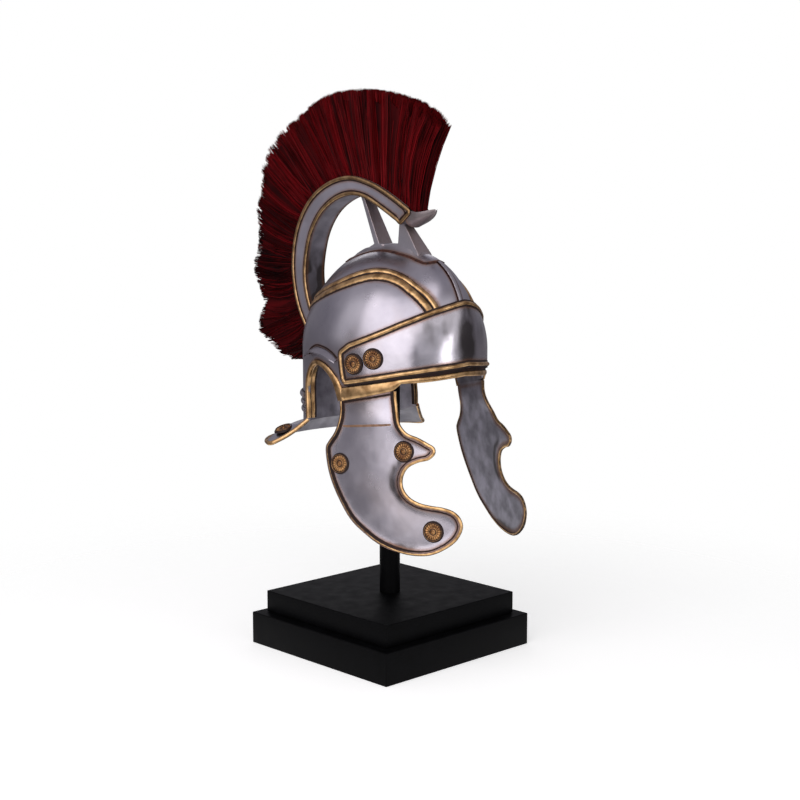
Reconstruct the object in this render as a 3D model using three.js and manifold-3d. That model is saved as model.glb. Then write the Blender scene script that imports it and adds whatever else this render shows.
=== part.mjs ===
// A crested Roman legionary helmet on its display stand.
// Millimetres, +Z up. The face opening looks along -Y and x = 0 is the plane of symmetry.
// The origin is the middle of the plinth's underside.
import * as THREE from "three";
import { mergeVertices } from "three/addons/utils/BufferGeometryUtils.js";
import Module from "manifold-3d";

const wasm = await Module();
wasm.setup();
const V = THREE.Vector3;
const DEG = Math.PI / 180;

// ---------------------------------------------------------------- driving dimensions

const GAP = 0.3; // between pieces that touch
const PLINTH_SIDE = 240;
const PLINTH_HEIGHT = 39;
const STEP_SIDE = 214;
const STEP_HEIGHT = 27;
const POST_RADIUS = 12.5;

// The skull: upright walls under a dome whose sections are superellipses. It is fuller on the centre
// line, before and behind, where the dome rises to a keel.
const HALF_LENGTH = 118;
const HALF_WIDTH = 100;
const MID_Y = -5.7;
const SPRING_Z = 369.4;
const RISE = 116.5;
const ROUNDNESS = 1.83;
const KEEL_FRONT = 0.95;
const KEEL_FRONT_SPREAD = 20;
const KEEL_BACK = 0.5;
const KEEL_BACK_SPREAD = 24;
const WALL = 2.4;

// Lower edge of the skull from the side as (y, z): brow, cheek hinge line, ear arch, nape.
const BROW_EDGE = [[-160, 343], [-124, 342.5], [-121, 341], [-108, 338], [-92, 337.5]];
const CHEEK_EDGE = [[-87.7, 330], [-61, 324], [-22, 316]];
const EAR_EDGE = [[-17, 321], [-13.5, 329], [-5, 341], [9.9, 351], [23, 352], [36, 341], [42.7, 325]];
const NAPE_EDGE = [[44.5, 311], [44.5, 284], [80.6, 272], [160, 272]];

// Neck guard: bend line under the nape, and its outer edge as (x, y, z) from the side to the back.
const BEND_DEG = 115.5;
const BEND_SIDE_Z = 284;
const BEND_BACK_Z = 272;
const GUARD_EDGE = [[127, 71.5, 256.5], [115, 93, 255.5], [86.5, 116.5, 254], [47, 134, 253.5],
  [0, 140, 253.5]];
const GUARD_SAG = 3;
const GUARD_SWELL = 6;

// Brow plate: upper and lower edge as (degrees from the brow, z), and how far it stands proud.
const BROW_TOP = [[0, 429], [6, 427.5], [13.5, 424], [22, 419.5], [30, 414.5], [44, 405], [61, 391.5],
  [75, 380.5], [80, 373], [83, 366]];
const BROW_BOTTOM = [[0, 355], [26, 350.5], [44, 345.5], [62, 339], [78, 333], [80.5, 352], [83, 370]];
const BROW_STATIONS = [0, 10, 20, 30, 40, 50, 60, 70, 77, 80, 82.4];
const BROW_LIFT = 2.4;
const BROW_CREASE = 4.1;

// Gilt trim
const BEAD_WIDTH = 4.8;
const BEAD_HEIGHT = 2.4;
const RIM_WIDTH = 6;
const RIM_HEIGHT = 3.2;

// Crown bands: upper and lower edge on the right side of the dome as (x, y).
const BAND_UPPER = [[-18.5, 97], [-34, 88], [-54, 68], [-65, 40], [-66, 12], [-61, -4], [-50, -29],
  [-43, -47], [-37.8, -65], [-34, -85], [-29.5, -105]];
const BAND_LOWER = [[-18.5, 107], [-42, 96], [-63, 73], [-75.5, 42], [-78, 12], [-75, -9], [-61, -40],
  [-55, -53], [-50, -67], [-47, -80], [-42, -99.5]];
const BAND_SPLIT = [[0, 0.4], [0.48, 1]];

// Cheek guards: the plate bulges as x(y, z), and its outline is (y, z) round the right guard.
const CHEEK_WALL = 2.4;
const CHEEK_BEAD = 2.2;
const CHEEK_OUTLINE = [[-20, 313], [-21.5, 294], [-18, 278], [-10.5, 266], [-7.7, 260], [-10.9, 242],
  [-18, 223], [-32, 199], [-47.5, 178.6], [-65, 164.8], [-83, 154], [-102, 147.5], [-122, 145],
  [-142, 147.6], [-158, 156.4], [-169, 167.5], [-174, 182], [-171, 192], [-164, 198.7], [-152.6, 202.3],
  [-139.8, 203.5], [-126.7, 205.8], [-115.3, 211.7], [-108, 221.8], [-107.2, 233.6], [-112, 244],
  [-122.5, 250.7], [-134.4, 254.8], [-140.5, 262.3], [-139.3, 268.5], [-132, 273], [-120.4, 278.5],
  [-107.5, 283], [-98.6, 292], [-91.5, 305.5], [-88, 318], [-87.5, 328]];

// Crest: outer and inner edge of the box from front to back as (y, z).
const CREST_HALF = 15;
const CREST_OUTER = [[-46, 534], [-16, 550], [18, 564], [56, 571], [94, 563.5], [125, 546], [147, 520],
  [159, 490], [162.5, 458], [159, 430], [150, 404], [137, 383], [122, 364]];
const CREST_INNER = [[-34, 514], [-2, 531], [28, 544.5], [56, 547.5], [84, 539.5], [107, 524], [124, 501],
  [133, 474], [136, 448], [132, 424], [124, 404], [113, 385], [98, 368]];
const CREST_STATIONS = 26;
const SLOT_HALF = 12;
const SLOT_DEPTH = 8;

// Crest support: forked plate as (y, z), thicker at its foot.
const SUPPORT_OUTLINE = [[-60, 468.5], [-60, 440], [60, 440], [60, 465], [40, 478], [15, 490.5],
  [44, 552], [39, 552], [6, 491], [-24, 491], [-22, 524], [-27.5, 520]];
const SUPPORT_FOOT = 13;
const FRONT_PRONG = [514, 6.2];
const REAR_PRONG = [541, 8];

// Plume: front root and tip line as (y, z).
const PLUME_ROOT = [[-53, 535], [-46, 536], [-16, 551], [18, 565], [56, 572], [95, 564.5], [126, 547],
  [148, 521], [160, 491], [163.5, 458], [160, 430], [151, 403], [138, 382], [125, 364]];
const PLUME_TIP = [[-93, 628], [-82, 637], [-61, 651], [-41, 659], [-10, 668], [40, 676], [92, 671],
  [113, 665], [137, 654], [159, 642], [191, 624], [211, 605], [222, 589], [229, 571], [233, 550],
  [236, 525], [239, 500], [241, 478], [242, 455], [241, 430], [240, 405], [236, 382], [218, 362],
  [197, 350], [178, 339]];
const PLUME_STATIONS = 26;

// ---------------------------------------------------------------- materials

function metal(color, roughness, metalness = 1) {
  return new THREE.MeshStandardMaterial({ color, roughness, metalness });
}
const silver = () => metal(0xb9b4be, 0.3);
const gilt = () => metal(0xb98d52, 0.38);
const black = () => metal(0x111113, 0.4, 0);
const red = () => metal(0x5a0610, 0.75, 0);

// ---------------------------------------------------------------- solids

function reversed(index) {
  const turned = [];
  for (let i = 0; i < index.length; i += 3) {
    turned.push(index[i], index[i + 2], index[i + 1]);
  }
  return turned;
}

function volumeOf(corners, index) {
  let sum = 0;
  for (let i = 0; i < index.length; i += 3) {
    const [a, b, c] = [corners[index[i]], corners[index[i + 1]], corners[index[i + 2]]];
    sum += a.dot(b.clone().cross(c));
  }
  return sum / 6;
}

// A geometry from corners and triangles, with its faces turned outwards.
function body(corners, index) {
  const geometry = new THREE.BufferGeometry().setFromPoints(corners);
  geometry.setIndex(volumeOf(corners, index) < 0 ? reversed(index) : index);
  return geometry;
}

// The manifold solid of a geometry: shared corners merged, collapsed triangles dropped.
function solid(geometry) {
  const bare = geometry.clone();
  bare.deleteAttribute("normal");
  bare.deleteAttribute("uv");
  const merged = mergeVertices(bare, 1e-3);
  const index = merged.index.array;
  const kept = [];
  for (let i = 0; i < index.length; i += 3) {
    const [a, b, c] = [index[i], index[i + 1], index[i + 2]];
    if (a !== b && b !== c && c !== a) kept.push(a, b, c);
  }
  const vertProperties = merged.attributes.position.array;
  return new wasm.Manifold(new wasm.Mesh({ numProp: 3, vertProperties, triVerts: new Uint32Array(kept) }));
}

function geometryOf(made) {
  const mesh = made.getMesh();
  const geometry = new THREE.BufferGeometry();
  geometry.setAttribute("position", new THREE.BufferAttribute(mesh.vertProperties, 3));
  geometry.setIndex(new THREE.BufferAttribute(mesh.triVerts, 1));
  return geometry;
}

// A body through sections that all have the same number of corners, closed at both ends or in a ring.
function loft(sections, ring = false) {
  const count = sections[0].length;
  const corners = sections.flat();
  const at = (i, j) => (i % sections.length) * count + (j % count);
  const index = [];
  for (let i = 0; i < sections.length - (ring ? 0 : 1); i++) {
    for (let j = 0; j < count; j++) {
      index.push(at(i, j), at(i + 1, j), at(i + 1, j + 1));
      index.push(at(i, j), at(i + 1, j + 1), at(i, j + 1));
    }
  }
  if (!ring) {
    const last = sections.length - 1;
    for (const [a, b, c] of capOf(sections[0])) index.push(at(0, a), at(0, b), at(0, c));
    for (const [a, b, c] of capOf(sections[last])) index.push(at(last, c), at(last, b), at(last, a));
  }
  return geometryOf(solid(body(corners, index)));
}

// Triangles that fill a section, laid flat along its own two longest directions.
function capOf(section) {
  const normal = new V();
  section.forEach((p, i) => normal.add(p.clone().cross(section[(i + 1) % section.length])));
  normal.normalize();
  const u = section[1].clone().sub(section[0]).normalize();
  const v = normal.clone().cross(u);
  const flat = section.map((p) => new THREE.Vector2(p.dot(u), p.dot(v)));
  return THREE.ShapeUtils.triangulateShape(flat, []);
}

// A prism along X from an outline in (y, z), reaching `half` to each side.
function sidePrism(outline, half) {
  const shape = new THREE.Shape(outline.map(([y, z]) => new THREE.Vector2(y, z)));
  const prism = new THREE.ExtrudeGeometry(shape, { depth: 2 * half, bevelEnabled: false });
  prism.translate(0, 0, -half);
  prism.applyMatrix4(new THREE.Matrix4().set(0, 0, 1, 0, 1, 0, 0, 0, 0, 1, 0, 0, 0, 0, 0, 1));
  return prism;
}

function mirrored(geometry) {
  const twin = geometry.clone();
  twin.scale(-1, 1, 1);
  twin.setIndex(reversed(Array.from(twin.index.array)));
  return twin;
}

// Straight-line reading of a table of [at, value].
function between(table, at) {
  const next = Math.max(1, table.findIndex(([x]) => x >= at));
  const [[x0, y0], [x1, y1]] = [table[next - 1], table[next]];
  return y0 + ((y1 - y0) * (at - x0)) / (x1 - x0);
}

// `count` points of a smooth curve through points of two or three numbers.
function smooth(points, count, closed = false) {
  const curve = new THREE.CatmullRomCurve3(points.map((p) => new V(...p)), closed, "centripetal");
  const places = [];
  for (let i = 0; i < count; i++) places.push(curve.getPointAt(i / (closed ? count : count - 1)));
  return places;
}

// A bar of trim laid along `path`, whose points hold a place on a surface and the way out of it.
// The section is a low arch of the given width and height, a gap above the surface.
const ARCH = [[-0.5, 0], [-0.42, 0.62], [0, 1], [0.42, 0.62], [0.5, 0]];
function bead(path, width, height, ring = false) {
  const last = path.length - 1;
  const sections = path.map(({ place, out }, i) => {
    const before = path[i === 0 ? (ring ? last : 0) : i - 1].place;
    const after = path[i === last ? (ring ? 0 : last) : i + 1].place;
    const along = after.clone().sub(before).normalize();
    const across = out.clone().cross(along).normalize();
    return ARCH.map(([w, h]) =>
      place.clone().addScaledVector(across, w * width).addScaledVector(out, GAP + h * height));
  });
  return loft(sections, ring);
}

// ---------------------------------------------------------------- the skull's surface

const swell = (deg, spread) => Math.exp(-((deg / spread) ** 2));
const roundness = (deg) => ROUNDNESS + KEEL_FRONT * swell(deg, KEEL_FRONT_SPREAD)
  + KEEL_BACK * swell(180 - Math.abs(deg), KEEL_BACK_SPREAD);

function bearing(point) {
  return Math.atan2(point.x / HALF_WIDTH, (MID_Y - point.y) / HALF_LENGTH) / DEG;
}

// Outer surface at a bearing (0 is the brow, 180 the nape) and a height.
function skullAt(deg, z) {
  const power = roundness(deg);
  const rise = Math.min(Math.max((z - SPRING_Z) / RISE, 0), 1);
  const reach = (1 - rise ** power) ** (1 / power);
  const x = HALF_WIDTH * reach * Math.sin(deg * DEG);
  const y = MID_Y - HALF_LENGTH * reach * Math.cos(deg * DEG);
  return new V(x, y, z);
}

// Outer surface of the dome over a place in plan.
function crownAt(x, y) {
  const power = roundness(bearing({ x, y }));
  const reach = Math.min(Math.hypot(x / HALF_WIDTH, (y - MID_Y) / HALF_LENGTH), 1);
  return new V(x, y, SPRING_Z + RISE * (1 - reach ** power) ** (1 / power));
}

function outward(point) {
  const power = roundness(bearing(point));
  const across = point.x / HALF_WIDTH;
  const along = (point.y - MID_Y) / HALF_LENGTH;
  const round = Math.max(Math.hypot(across, along), 1e-3) ** (power - 2);
  const rise = Math.max((point.z - SPRING_Z) / RISE, 0) ** (power - 1);
  return new V((across * round) / HALF_WIDTH, (along * round) / HALF_LENGTH, rise / RISE).normalize();
}

const raised = (point, by) => point.clone().addScaledVector(outward(point), by);
const onSkull = (deg, z) => ({ place: skullAt(deg, z), out: outward(skullAt(deg, z)) });
const onCrown = (x, y) => ({ place: crownAt(x, y), out: outward(crownAt(x, y)) });

// Outer profile at one bearing, from z = foot up to the apex.
const WALL_FOOT = 262;
const DOME_STEPS = 9;
function skullProfile(deg) {
  const power = roundness(deg);
  const profile = [skullAt(deg, WALL_FOOT), skullAt(deg, SPRING_Z - 30)];
  for (let i = 0; i <= DOME_STEPS; i++) {
    const rise = Math.sin((i / DOME_STEPS) * (Math.PI / 2)) ** (2 / power);
    profile.push(skullAt(deg, SPRING_Z + RISE * rise));
  }
  return profile;
}

// The skull from one offset to another. Without an inner offset it is filled.
const SKULL_SIDES = 36;
function skullShell(outer, inner) {
  const sections = [];
  for (let i = 0; i < SKULL_SIDES; i++) {
    const profile = skullProfile((360 / SKULL_SIDES) * i - 180);
    const outside = profile.map((p) => raised(p, outer));
    const axis = [new V(0, MID_Y, SPRING_Z), new V(0, MID_Y, WALL_FOOT)];
    const inside = inner === undefined ? axis : profile.map((p) => raised(p, inner)).reverse();
    sections.push([...outside, ...inside]);
  }
  return solid(loft(sections, true));
}

const filledSkull = skullShell(GAP + 0.1);

// ---------------------------------------------------------------- stand

function plinthBase() {
  const block = new THREE.BoxGeometry(PLINTH_SIDE, PLINTH_SIDE, PLINTH_HEIGHT);
  return block.translate(0, 0, PLINTH_HEIGHT / 2);
}

function plinthStep() {
  const block = new THREE.BoxGeometry(STEP_SIDE, STEP_SIDE, STEP_HEIGHT - GAP);
  return block.translate(0, 0, PLINTH_HEIGHT + GAP + (STEP_HEIGHT - GAP) / 2);
}

const POST_FOOT = PLINTH_HEIGHT + STEP_HEIGHT + GAP;
function post() {
  const head = crownAt(0, MID_Y + POST_RADIUS + 8).z - WALL - 1.5;
  const rod = new THREE.CylinderGeometry(POST_RADIUS, POST_RADIUS, head - POST_FOOT, 24);
  return rod.rotateX(Math.PI / 2).translate(0, 0, (head + POST_FOOT) / 2);
}

// ---------------------------------------------------------------- skull, nape and neck guard

function skullBowl() {
  const below = [...BROW_EDGE, ...CHEEK_EDGE, ...EAR_EDGE, ...NAPE_EDGE, [160, 240], [-160, 240]];
  return geometryOf(skullShell(0, -WALL).subtract(solid(sidePrism(below, 150))));
}

// Guard surface: t runs from the right front corner (-1) round the back (0) to the left (1),
// and s from the bend line (0) to the outer edge (1).
const guardEdgeRight = GUARD_EDGE.map(([x, y, z]) => [-x, y, z]);
const guardEdge = new THREE.CatmullRomCurve3(
  [...guardEdgeRight, ...GUARD_EDGE.slice(0, -1).reverse()].map((p) => new V(...p)), false, "centripetal");
function guardAt(t, s) {
  const deg = t < 0 ? -BEND_DEG + (BEND_DEG - 180) * (1 + t) : BEND_DEG + (180 - BEND_DEG) * (1 - t);
  const bendZ = BEND_SIDE_Z + (BEND_BACK_Z - BEND_SIDE_Z) * Math.min(1, 3 * (1 - Math.abs(t)));
  const bend = skullAt(deg, bendZ - 1);
  const edge = guardEdge.getPointAt((t + 1) / 2);
  const place = bend.lerp(edge, s);
  const swell = THREE.MathUtils.smoothstep(1 - Math.abs(t), 0, 0.2);
  place.z += ((GUARD_SAG + GUARD_SWELL) * swell - GUARD_SAG) * Math.sin(Math.PI * s);
  return place;
}

const GUARD_STEPS = 24;
const GUARD_ROWS = [0, 0.2, 0.45, 0.72, 1];
function neckGuard() {
  const sections = [];
  for (let i = 0; i <= GUARD_STEPS; i++) {
    const t = (2 * i) / GUARD_STEPS - 1;
    const top = GUARD_ROWS.map((s) => guardAt(t, s));
    const under = [...top].reverse().map((p) => p.clone().add(new V(0, 0, -WALL)));
    sections.push([...top, ...under]);
  }
  const raw = solid(loft(sections));
  const nape = [[30, 284.5], [44.9, 284.5], [81, 272.5], [118, 272.5], [118, 300], [30, 300]];
  return geometryOf(raw.subtract(solid(sidePrism(nape, 150))));
}

// ---------------------------------------------------------------- brow plate

const proud = (deg) => BROW_LIFT + BROW_CREASE * Math.max(0, 1 - Math.abs(deg) / 45);

function browAt(deg, z, by = 0) {
  const place = skullAt(deg, z);
  const out = outward(place).setZ(0).normalize();
  return place.addScaledVector(out, proud(deg) + by);
}

const browStations = [...BROW_STATIONS.slice(1).reverse().map((d) => -d), ...BROW_STATIONS];

function browPlate() {
  const sections = browStations.map((deg) => {
    const low = between(BROW_BOTTOM, Math.abs(deg));
    const high = between(BROW_TOP, Math.abs(deg));
    const heights = [0, 0.35, 0.7, 1].map((t) => low + (high - low) * t);
    const face = heights.map((z) => browAt(deg, z));
    const back = heights.reverse().map((z) => browAt(deg, z, -1.8));
    return [...face, ...back];
  });
  return loft(sections);
}

function browPlateTrim() {
  const inset = BEAD_WIDTH / 2;
  const along = browStations.filter((deg) => Math.abs(deg) < 79);
  const low = along.map((deg) => [deg, between(BROW_BOTTOM, Math.abs(deg)) + inset]);
  const high = along.map((deg) => [deg, between(BROW_TOP, Math.abs(deg)) - inset]).reverse();
  const back = [[79, 345], [80.6, 366], [80.4, 375]];
  const path = [...low, ...back, ...high, ...back.map(([deg, z]) => [-deg, z]).reverse()];
  const points = path.map(([deg, z]) => ({ place: browAt(deg, z), out: outward(skullAt(deg, z)) }));
  return bead(points, BEAD_WIDTH, BEAD_HEIGHT, true);
}

// ---------------------------------------------------------------- gilt rims and bands

// Gilt rim round the brow: narrow over the face opening, wide where it crosses the cheek guards.
const BROW_RIM_LOW = [[0, 342.5], [12, 341], [30, 338], [42, 337.5], [46, 330.2], [62, 324.2], [80, 316.5]];
const BROW_RIM_HIGH = [[0, 348], [12, 347], [30, 344], [45, 341], [62, 335.5], [80, 329.5]];
const BROW_RIM_STATIONS = [0, 5, 10, 15, 20, 25, 30, 35, 40, 42, 46, 50, 55, 60, 65, 70, 75, 79.6];
function browRim() {
  const stations = [...BROW_RIM_STATIONS.slice(1).map((deg) => -deg).reverse(), ...BROW_RIM_STATIONS];
  const sections = stations.map((deg) => {
    const low = between(BROW_RIM_LOW, Math.abs(deg));
    const high = between(BROW_RIM_HIGH, Math.abs(deg));
    const heights = [[low, GAP], [low, 2], [(low + high) / 2, 2.6], [high, 2], [high, GAP]];
    return heights.map(([z, by]) => raised(skullAt(deg, z), by));
  });
  return loft(sections);
}

// Gilt rim over the ear and down the edge of the nape, as (bearing, z) on the right side.
const EAR_RIM = [[-82.3, 317.5], [-84.2, 326], [-86.6, 336], [-91, 346], [-97.5, 354.5], [-104, 355.5],
  [-110.4, 347.5], [-115, 336], [-117, 323], [-116.9, 310], [-116.4, 298], [-116.4, 287.5]];
function earRimRight() {
  const path = smooth(EAR_RIM.map(([deg, z]) => [deg * 2, z, 0]), 22);
  return bead(path.map((p) => onSkull(p.x / 2, p.y)), RIM_WIDTH, RIM_HEIGHT);
}

// Thin flange that stands out over the ear.
const EAR_GUARD = [[-84.5, 361, 5], [-88.5, 367, 8], [-93, 371, 9], [-98, 373, 10], [-103, 373.5, 10],
  [-108.5, 370, 10], [-113.5, 364, 7]];
function earGuardRight() {
  const sections = EAR_GUARD.map(([deg, z, reach]) => {
    const root = skullAt(deg, z);
    const out = outward(root).setZ(0).normalize();
    const corner = (by, drop) => root.clone().addScaledVector(out, by).add(new V(0, 0, -drop));
    return [corner(0.5, 0), corner(0.5, 2.2), corner(reach, reach * 0.55 + 1.8), corner(reach, reach * 0.55)];
  });
  return loft(sections);
}

// Rolled gilt edge of the neck guard.
const NECK_RIM_STEPS = 30;
function neckRim() {
  const path = [];
  const push = (t, s) => path.push(guardAt(t, s).add(new V(0, 0, -WALL / 2)));
  for (const s of [0.12, 0.4, 0.7]) push(-1, s);
  for (let i = 0; i <= NECK_RIM_STEPS; i++) push((2 * i) / NECK_RIM_STEPS - 1, 1);
  for (const s of [0.7, 0.4, 0.12]) push(1, s);
  const middle = new V(0, 60, 250);
  const last = path.length - 1;
  const sections = path.map((place, i) => {
    const along = path[Math.min(i + 1, last)].clone().sub(path[Math.max(i - 1, 0)]).normalize();
    const away = place.clone().sub(middle).setZ(0);
    away.addScaledVector(along, -away.dot(along)).normalize();
    const up = away.clone().cross(along).normalize();
    const corner = (a, b) => place.clone().addScaledVector(away, a).addScaledVector(up, b);
    const near = GAP + 0.5;
    return [corner(near, -2.6), corner(near + 3.4, -1.6), corner(near + 3.4, 1.6), corner(near, 2.6)];
  });
  return loft(sections);
}

// Embossed ribs across the nape as [z, width, height].
const NAPE_RIBS = [[311, 8, 4.2], [301.5, 6, 2.8], [292.5, 6, 2.2]];
const RIB_START = 121.5;
function napeRib([z, width, height]) {
  const path = [];
  const steps = 16;
  for (let i = 0; i <= steps; i++) {
    path.push(onSkull(RIB_START + ((360 - 2 * RIB_START) * i) / steps, z));
  }
  return bead(path, width, height);
}

// One strip of the right crown band, between two fractions of the band's width.
const BAND_STEPS = 24;
function crownBandRight([from, to]) {
  const upper = smooth(BAND_UPPER.map(([x, y]) => [x, y, 0]), BAND_STEPS);
  const lower = smooth(BAND_LOWER.map(([x, y]) => [x, y, 0]), BAND_STEPS);
  const sections = upper.map((a, i) => {
    const at = (t, by) => {
      const p = a.clone().lerp(lower[i], t);
      return raised(crownAt(p.x, p.y), by);
    };
    return [at(from, 0.6), at(from, 1.6), at((from + to) / 2, 2.3), at(to, 1.6), at(to, 0.6)];
  });
  return loft(sections);
}

// Keel ridge on the centre line, from the crest support to the brow plate.
const RIDGE_Y = [-77, -84, -91, -97, -102, -106, -110, -113, -115];
function medialRidge() {
  return bead(RIDGE_Y.map((y) => onCrown(0, y)), 11, 2.6);
}

// ---------------------------------------------------------------- cheek guards

const wallX = (y) => HALF_WIDTH * Math.sqrt(Math.max(0.2, 1 - ((y - MID_Y) / HALF_LENGTH) ** 2));

// How far the guard's outer face lies from the centre plane.
function cheekX(y, z) {
  const back = (y + 90) / 80;
  const up = (z - 250) / 80;
  const bulge = 86.5 + 29.9 * back - 8.8 * up - 6.5 * back * back - 0.4 * back * up - 2.5 * up * up;
  const join = THREE.MathUtils.smoothstep(z, 288, 322);
  return bulge + (wallX(y) - bulge) * join;
}

const CHEEK_POINTS = 50;
const cheekOutline = smooth(CHEEK_OUTLINE.map(([y, z]) => [y, z, 0]), CHEEK_POINTS);

// The guard's outline moved inwards, as [y, z].
function cheekInward(by) {
  return cheekOutline.map((p, i) => {
    const a = cheekOutline[Math.max(i - 1, 0)];
    const b = cheekOutline[Math.min(i + 1, CHEEK_POINTS - 1)];
    const along = new THREE.Vector2(b.x - a.x, b.y - a.y).normalize();
    return [p.x + along.y * by, p.y - along.x * by];
  });
}

function cheekGuardRight() {
  const rows = [];
  const across = 12;
  const up = 10;
  for (let i = 0; i <= up; i++) {
    const z = 138 + (200 * i) / up;
    const row = [];
    for (let j = 0; j <= across; j++) row.push([-182 + (184 * j) / across, z]);
    rows.push(row);
  }
  const sections = rows.map((row) => {
    const face = row.map(([y, z]) => new V(-cheekX(y, z), y, z));
    const back = row.map(([y, z]) => new V(-cheekX(y, z) + CHEEK_WALL, y, z)).reverse();
    return [...face, ...back];
  });
  const rim = cheekInward(2 * CHEEK_BEAD + 1.5 * GAP);
  const hinge = [[-82.4, 326], [-61, 323.2], [-26, 315.8]];
  const plate = [...rim.slice(1, -1), ...hinge];
  return geometryOf(solid(loft(sections)).intersect(solid(sidePrism(plate, 150))));
}

function cheekRimRight() {
  const line = cheekInward(CHEEK_BEAD);
  const path = line.map(([y, z]) => new V(-cheekX(y, z) + CHEEK_WALL / 2, y, z));
  const last = path.length - 1;
  const sections = path.map((place, i) => {
    const along = path[Math.min(i + 1, last)].clone().sub(path[Math.max(i - 1, 0)]).normalize();
    const side = new V(1, 0, 0).addScaledVector(along, -along.x).normalize();
    const flat = along.clone().cross(side);
    return [0, 1, 2, 3, 4, 5].map((k) => {
      const turn = (k * Math.PI) / 3;
      return place.clone().addScaledVector(side, CHEEK_BEAD * Math.cos(turn))
        .addScaledVector(flat, CHEEK_BEAD * Math.sin(turn));
    });
  });
  return loft(sections);
}

// ---------------------------------------------------------------- rosettes

const ROSETTE_RADIUS = 12.2;
const ROSETTE_PROFILE = [[0, 0], [ROSETTE_RADIUS, 0], [ROSETTE_RADIUS, 1.6], [9.4, 2.8], [4, 2.6], [0, 4.2]];
function rosette(place, out, above = 0.5) {
  const points = ROSETTE_PROFILE.map(([r, h]) => new THREE.Vector2(r, h));
  const disc = new THREE.LatheGeometry(points, 16);
  const turn = new THREE.Quaternion().setFromUnitVectors(new V(0, 1, 0), out.clone().normalize());
  disc.applyQuaternion(turn);
  const centre = place.clone().addScaledVector(out, above);
  disc.translate(centre.x, centre.y, centre.z);
  return geometryOf(solid(disc));
}

// Rosettes of the right side: on the brow plate as (bearing, z), on the cheek guard as (y, z).
const BROW_ROSETTES = [[-72, 357.5], [-60, 364.5]];
const CHEEK_ROSETTES = [[-29, 242], [-106, 262], [-143.5, 174.5]];

function browRosette([deg, z]) {
  return rosette(browAt(deg, z), outward(skullAt(deg, z)));
}

function cheekRosette([y, z]) {
  const step = 2;
  const slopeY = (cheekX(y + step, z) - cheekX(y - step, z)) / (2 * step);
  const slopeZ = (cheekX(y, z + step) - cheekX(y, z - step)) / (2 * step);
  return rosette(new V(-cheekX(y, z), y, z), new V(-1, -slopeY, -slopeZ).normalize());
}

function guardRosette(t) {
  const place = guardAt(t, 0.55);
  const along = guardAt(t + 0.02, 0.55).sub(guardAt(t - 0.02, 0.55));
  const down = guardAt(t, 0.75).sub(guardAt(t, 0.35));
  const out = along.cross(down).normalize();
  if (out.z < 0) out.negate();
  return rosette(place, out, 1.2);
}

// ---------------------------------------------------------------- crest

const crestOuter = smooth(CREST_OUTER.map(([y, z]) => [y, z, 0]), CREST_STATIONS);
const crestInner = smooth(CREST_INNER.map(([y, z]) => [y, z, 0]), CREST_STATIONS);

// A section across the crest: corners are (x, distance inwards from the outer edge).
function crestSections(corners) {
  return crestOuter.map((outer, i) => {
    const inner = crestInner[i];
    const down = inner.clone().sub(outer);
    const depth = down.length();
    down.normalize();
    return corners(depth).map(([x, by]) => new V(x, outer.x + down.x * by, outer.y + down.y * by));
  });
}

function crestBox() {
  const channel = crestSections((depth) => [
    [-CREST_HALF, 0], [-CREST_HALF, depth], [CREST_HALF, depth], [CREST_HALF, 0],
    [SLOT_HALF, 0], [SLOT_HALF, SLOT_DEPTH], [-SLOT_HALF, SLOT_DEPTH], [-SLOT_HALF, 0]]);
  return geometryOf(solid(loft(channel)).subtract(filledSkull));
}

// Gilt frame on the right face of the crest box: both edges, round at the front.
function crestTrimRight() {
  const inset = BEAD_WIDTH / 2 + 0.2;
  const near = crestSections((depth) => [[-CREST_HALF, inset], [-CREST_HALF, depth - inset]]);
  const kept = near.slice(1, -2);
  const outer = kept.map(([a]) => a);
  const inner = kept.map(([, b]) => b).reverse();
  const front = [[-40.5, 522], [-43.5, 527.2], [-41.8, 531]].map(([y, z]) => new V(-CREST_HALF, y, z));
  const foot = new V(-CREST_HALF, 119, 375);
  const path = [...outer, foot, ...inner, ...front];
  const points = path.map((place) => ({ place, out: new V(-1, 0, 0) }));
  return geometryOf(solid(bead(points, BEAD_WIDTH, 1.9, true)).subtract(filledSkull));
}

// Upturned lip that closes the front of the crest, as [y, foot, top, half width].
const LIP = [[-42.5, 509.2, 521, 14.6], [-50, 511.8, 530.3, 14.6], [-58, 515, 529.2, 13.6],
  [-66, 518.9, 529.6, 11], [-73, 523.6, 531, 6.5], [-78, 528.2, 532, 1.6]];
function crestLip() {
  const sections = LIP.map(([y, foot, top, half]) => {
    const knee = foot + (top - foot) * 0.45;
    return [new V(0, y, foot), new V(half, y, knee), new V(half, y, top), new V(0, y, top - 1.4),
      new V(-half, y, top), new V(-half, y, knee)];
  });
  const box = [[-30, 506], [-34.6, 513.6], [-46.6, 533.6], [-46, 545], [0, 545], [0, 506]];
  return geometryOf(solid(loft(sections)).subtract(solid(sidePrism(box, 40))));
}

// Forked plate that carries the crest on the crown.
function crestSupport() {
  const plate = sidePrism(SUPPORT_OUTLINE, 1);
  const places = plate.attributes.position;
  for (let i = 0; i < places.count; i++) {
    const [height, top] = places.getY(i) > 0 ? REAR_PRONG : FRONT_PRONG;
    const t = (places.getZ(i) - 468) / (height - 468);
    const half = SUPPORT_FOOT + (top - SUPPORT_FOOT) * Math.min(1, Math.max(0, t));
    places.setX(i, places.getX(i) * half);
  }
  const grown = crestSections((depth) => [[-CREST_HALF, -5], [-CREST_HALF, depth + 0.45],
    [CREST_HALF, depth + 0.45], [CREST_HALF, -5]]);
  return geometryOf(solid(plate).subtract(filledSkull).subtract(solid(loft(grown))));
}

// ---------------------------------------------------------------- plume

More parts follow.
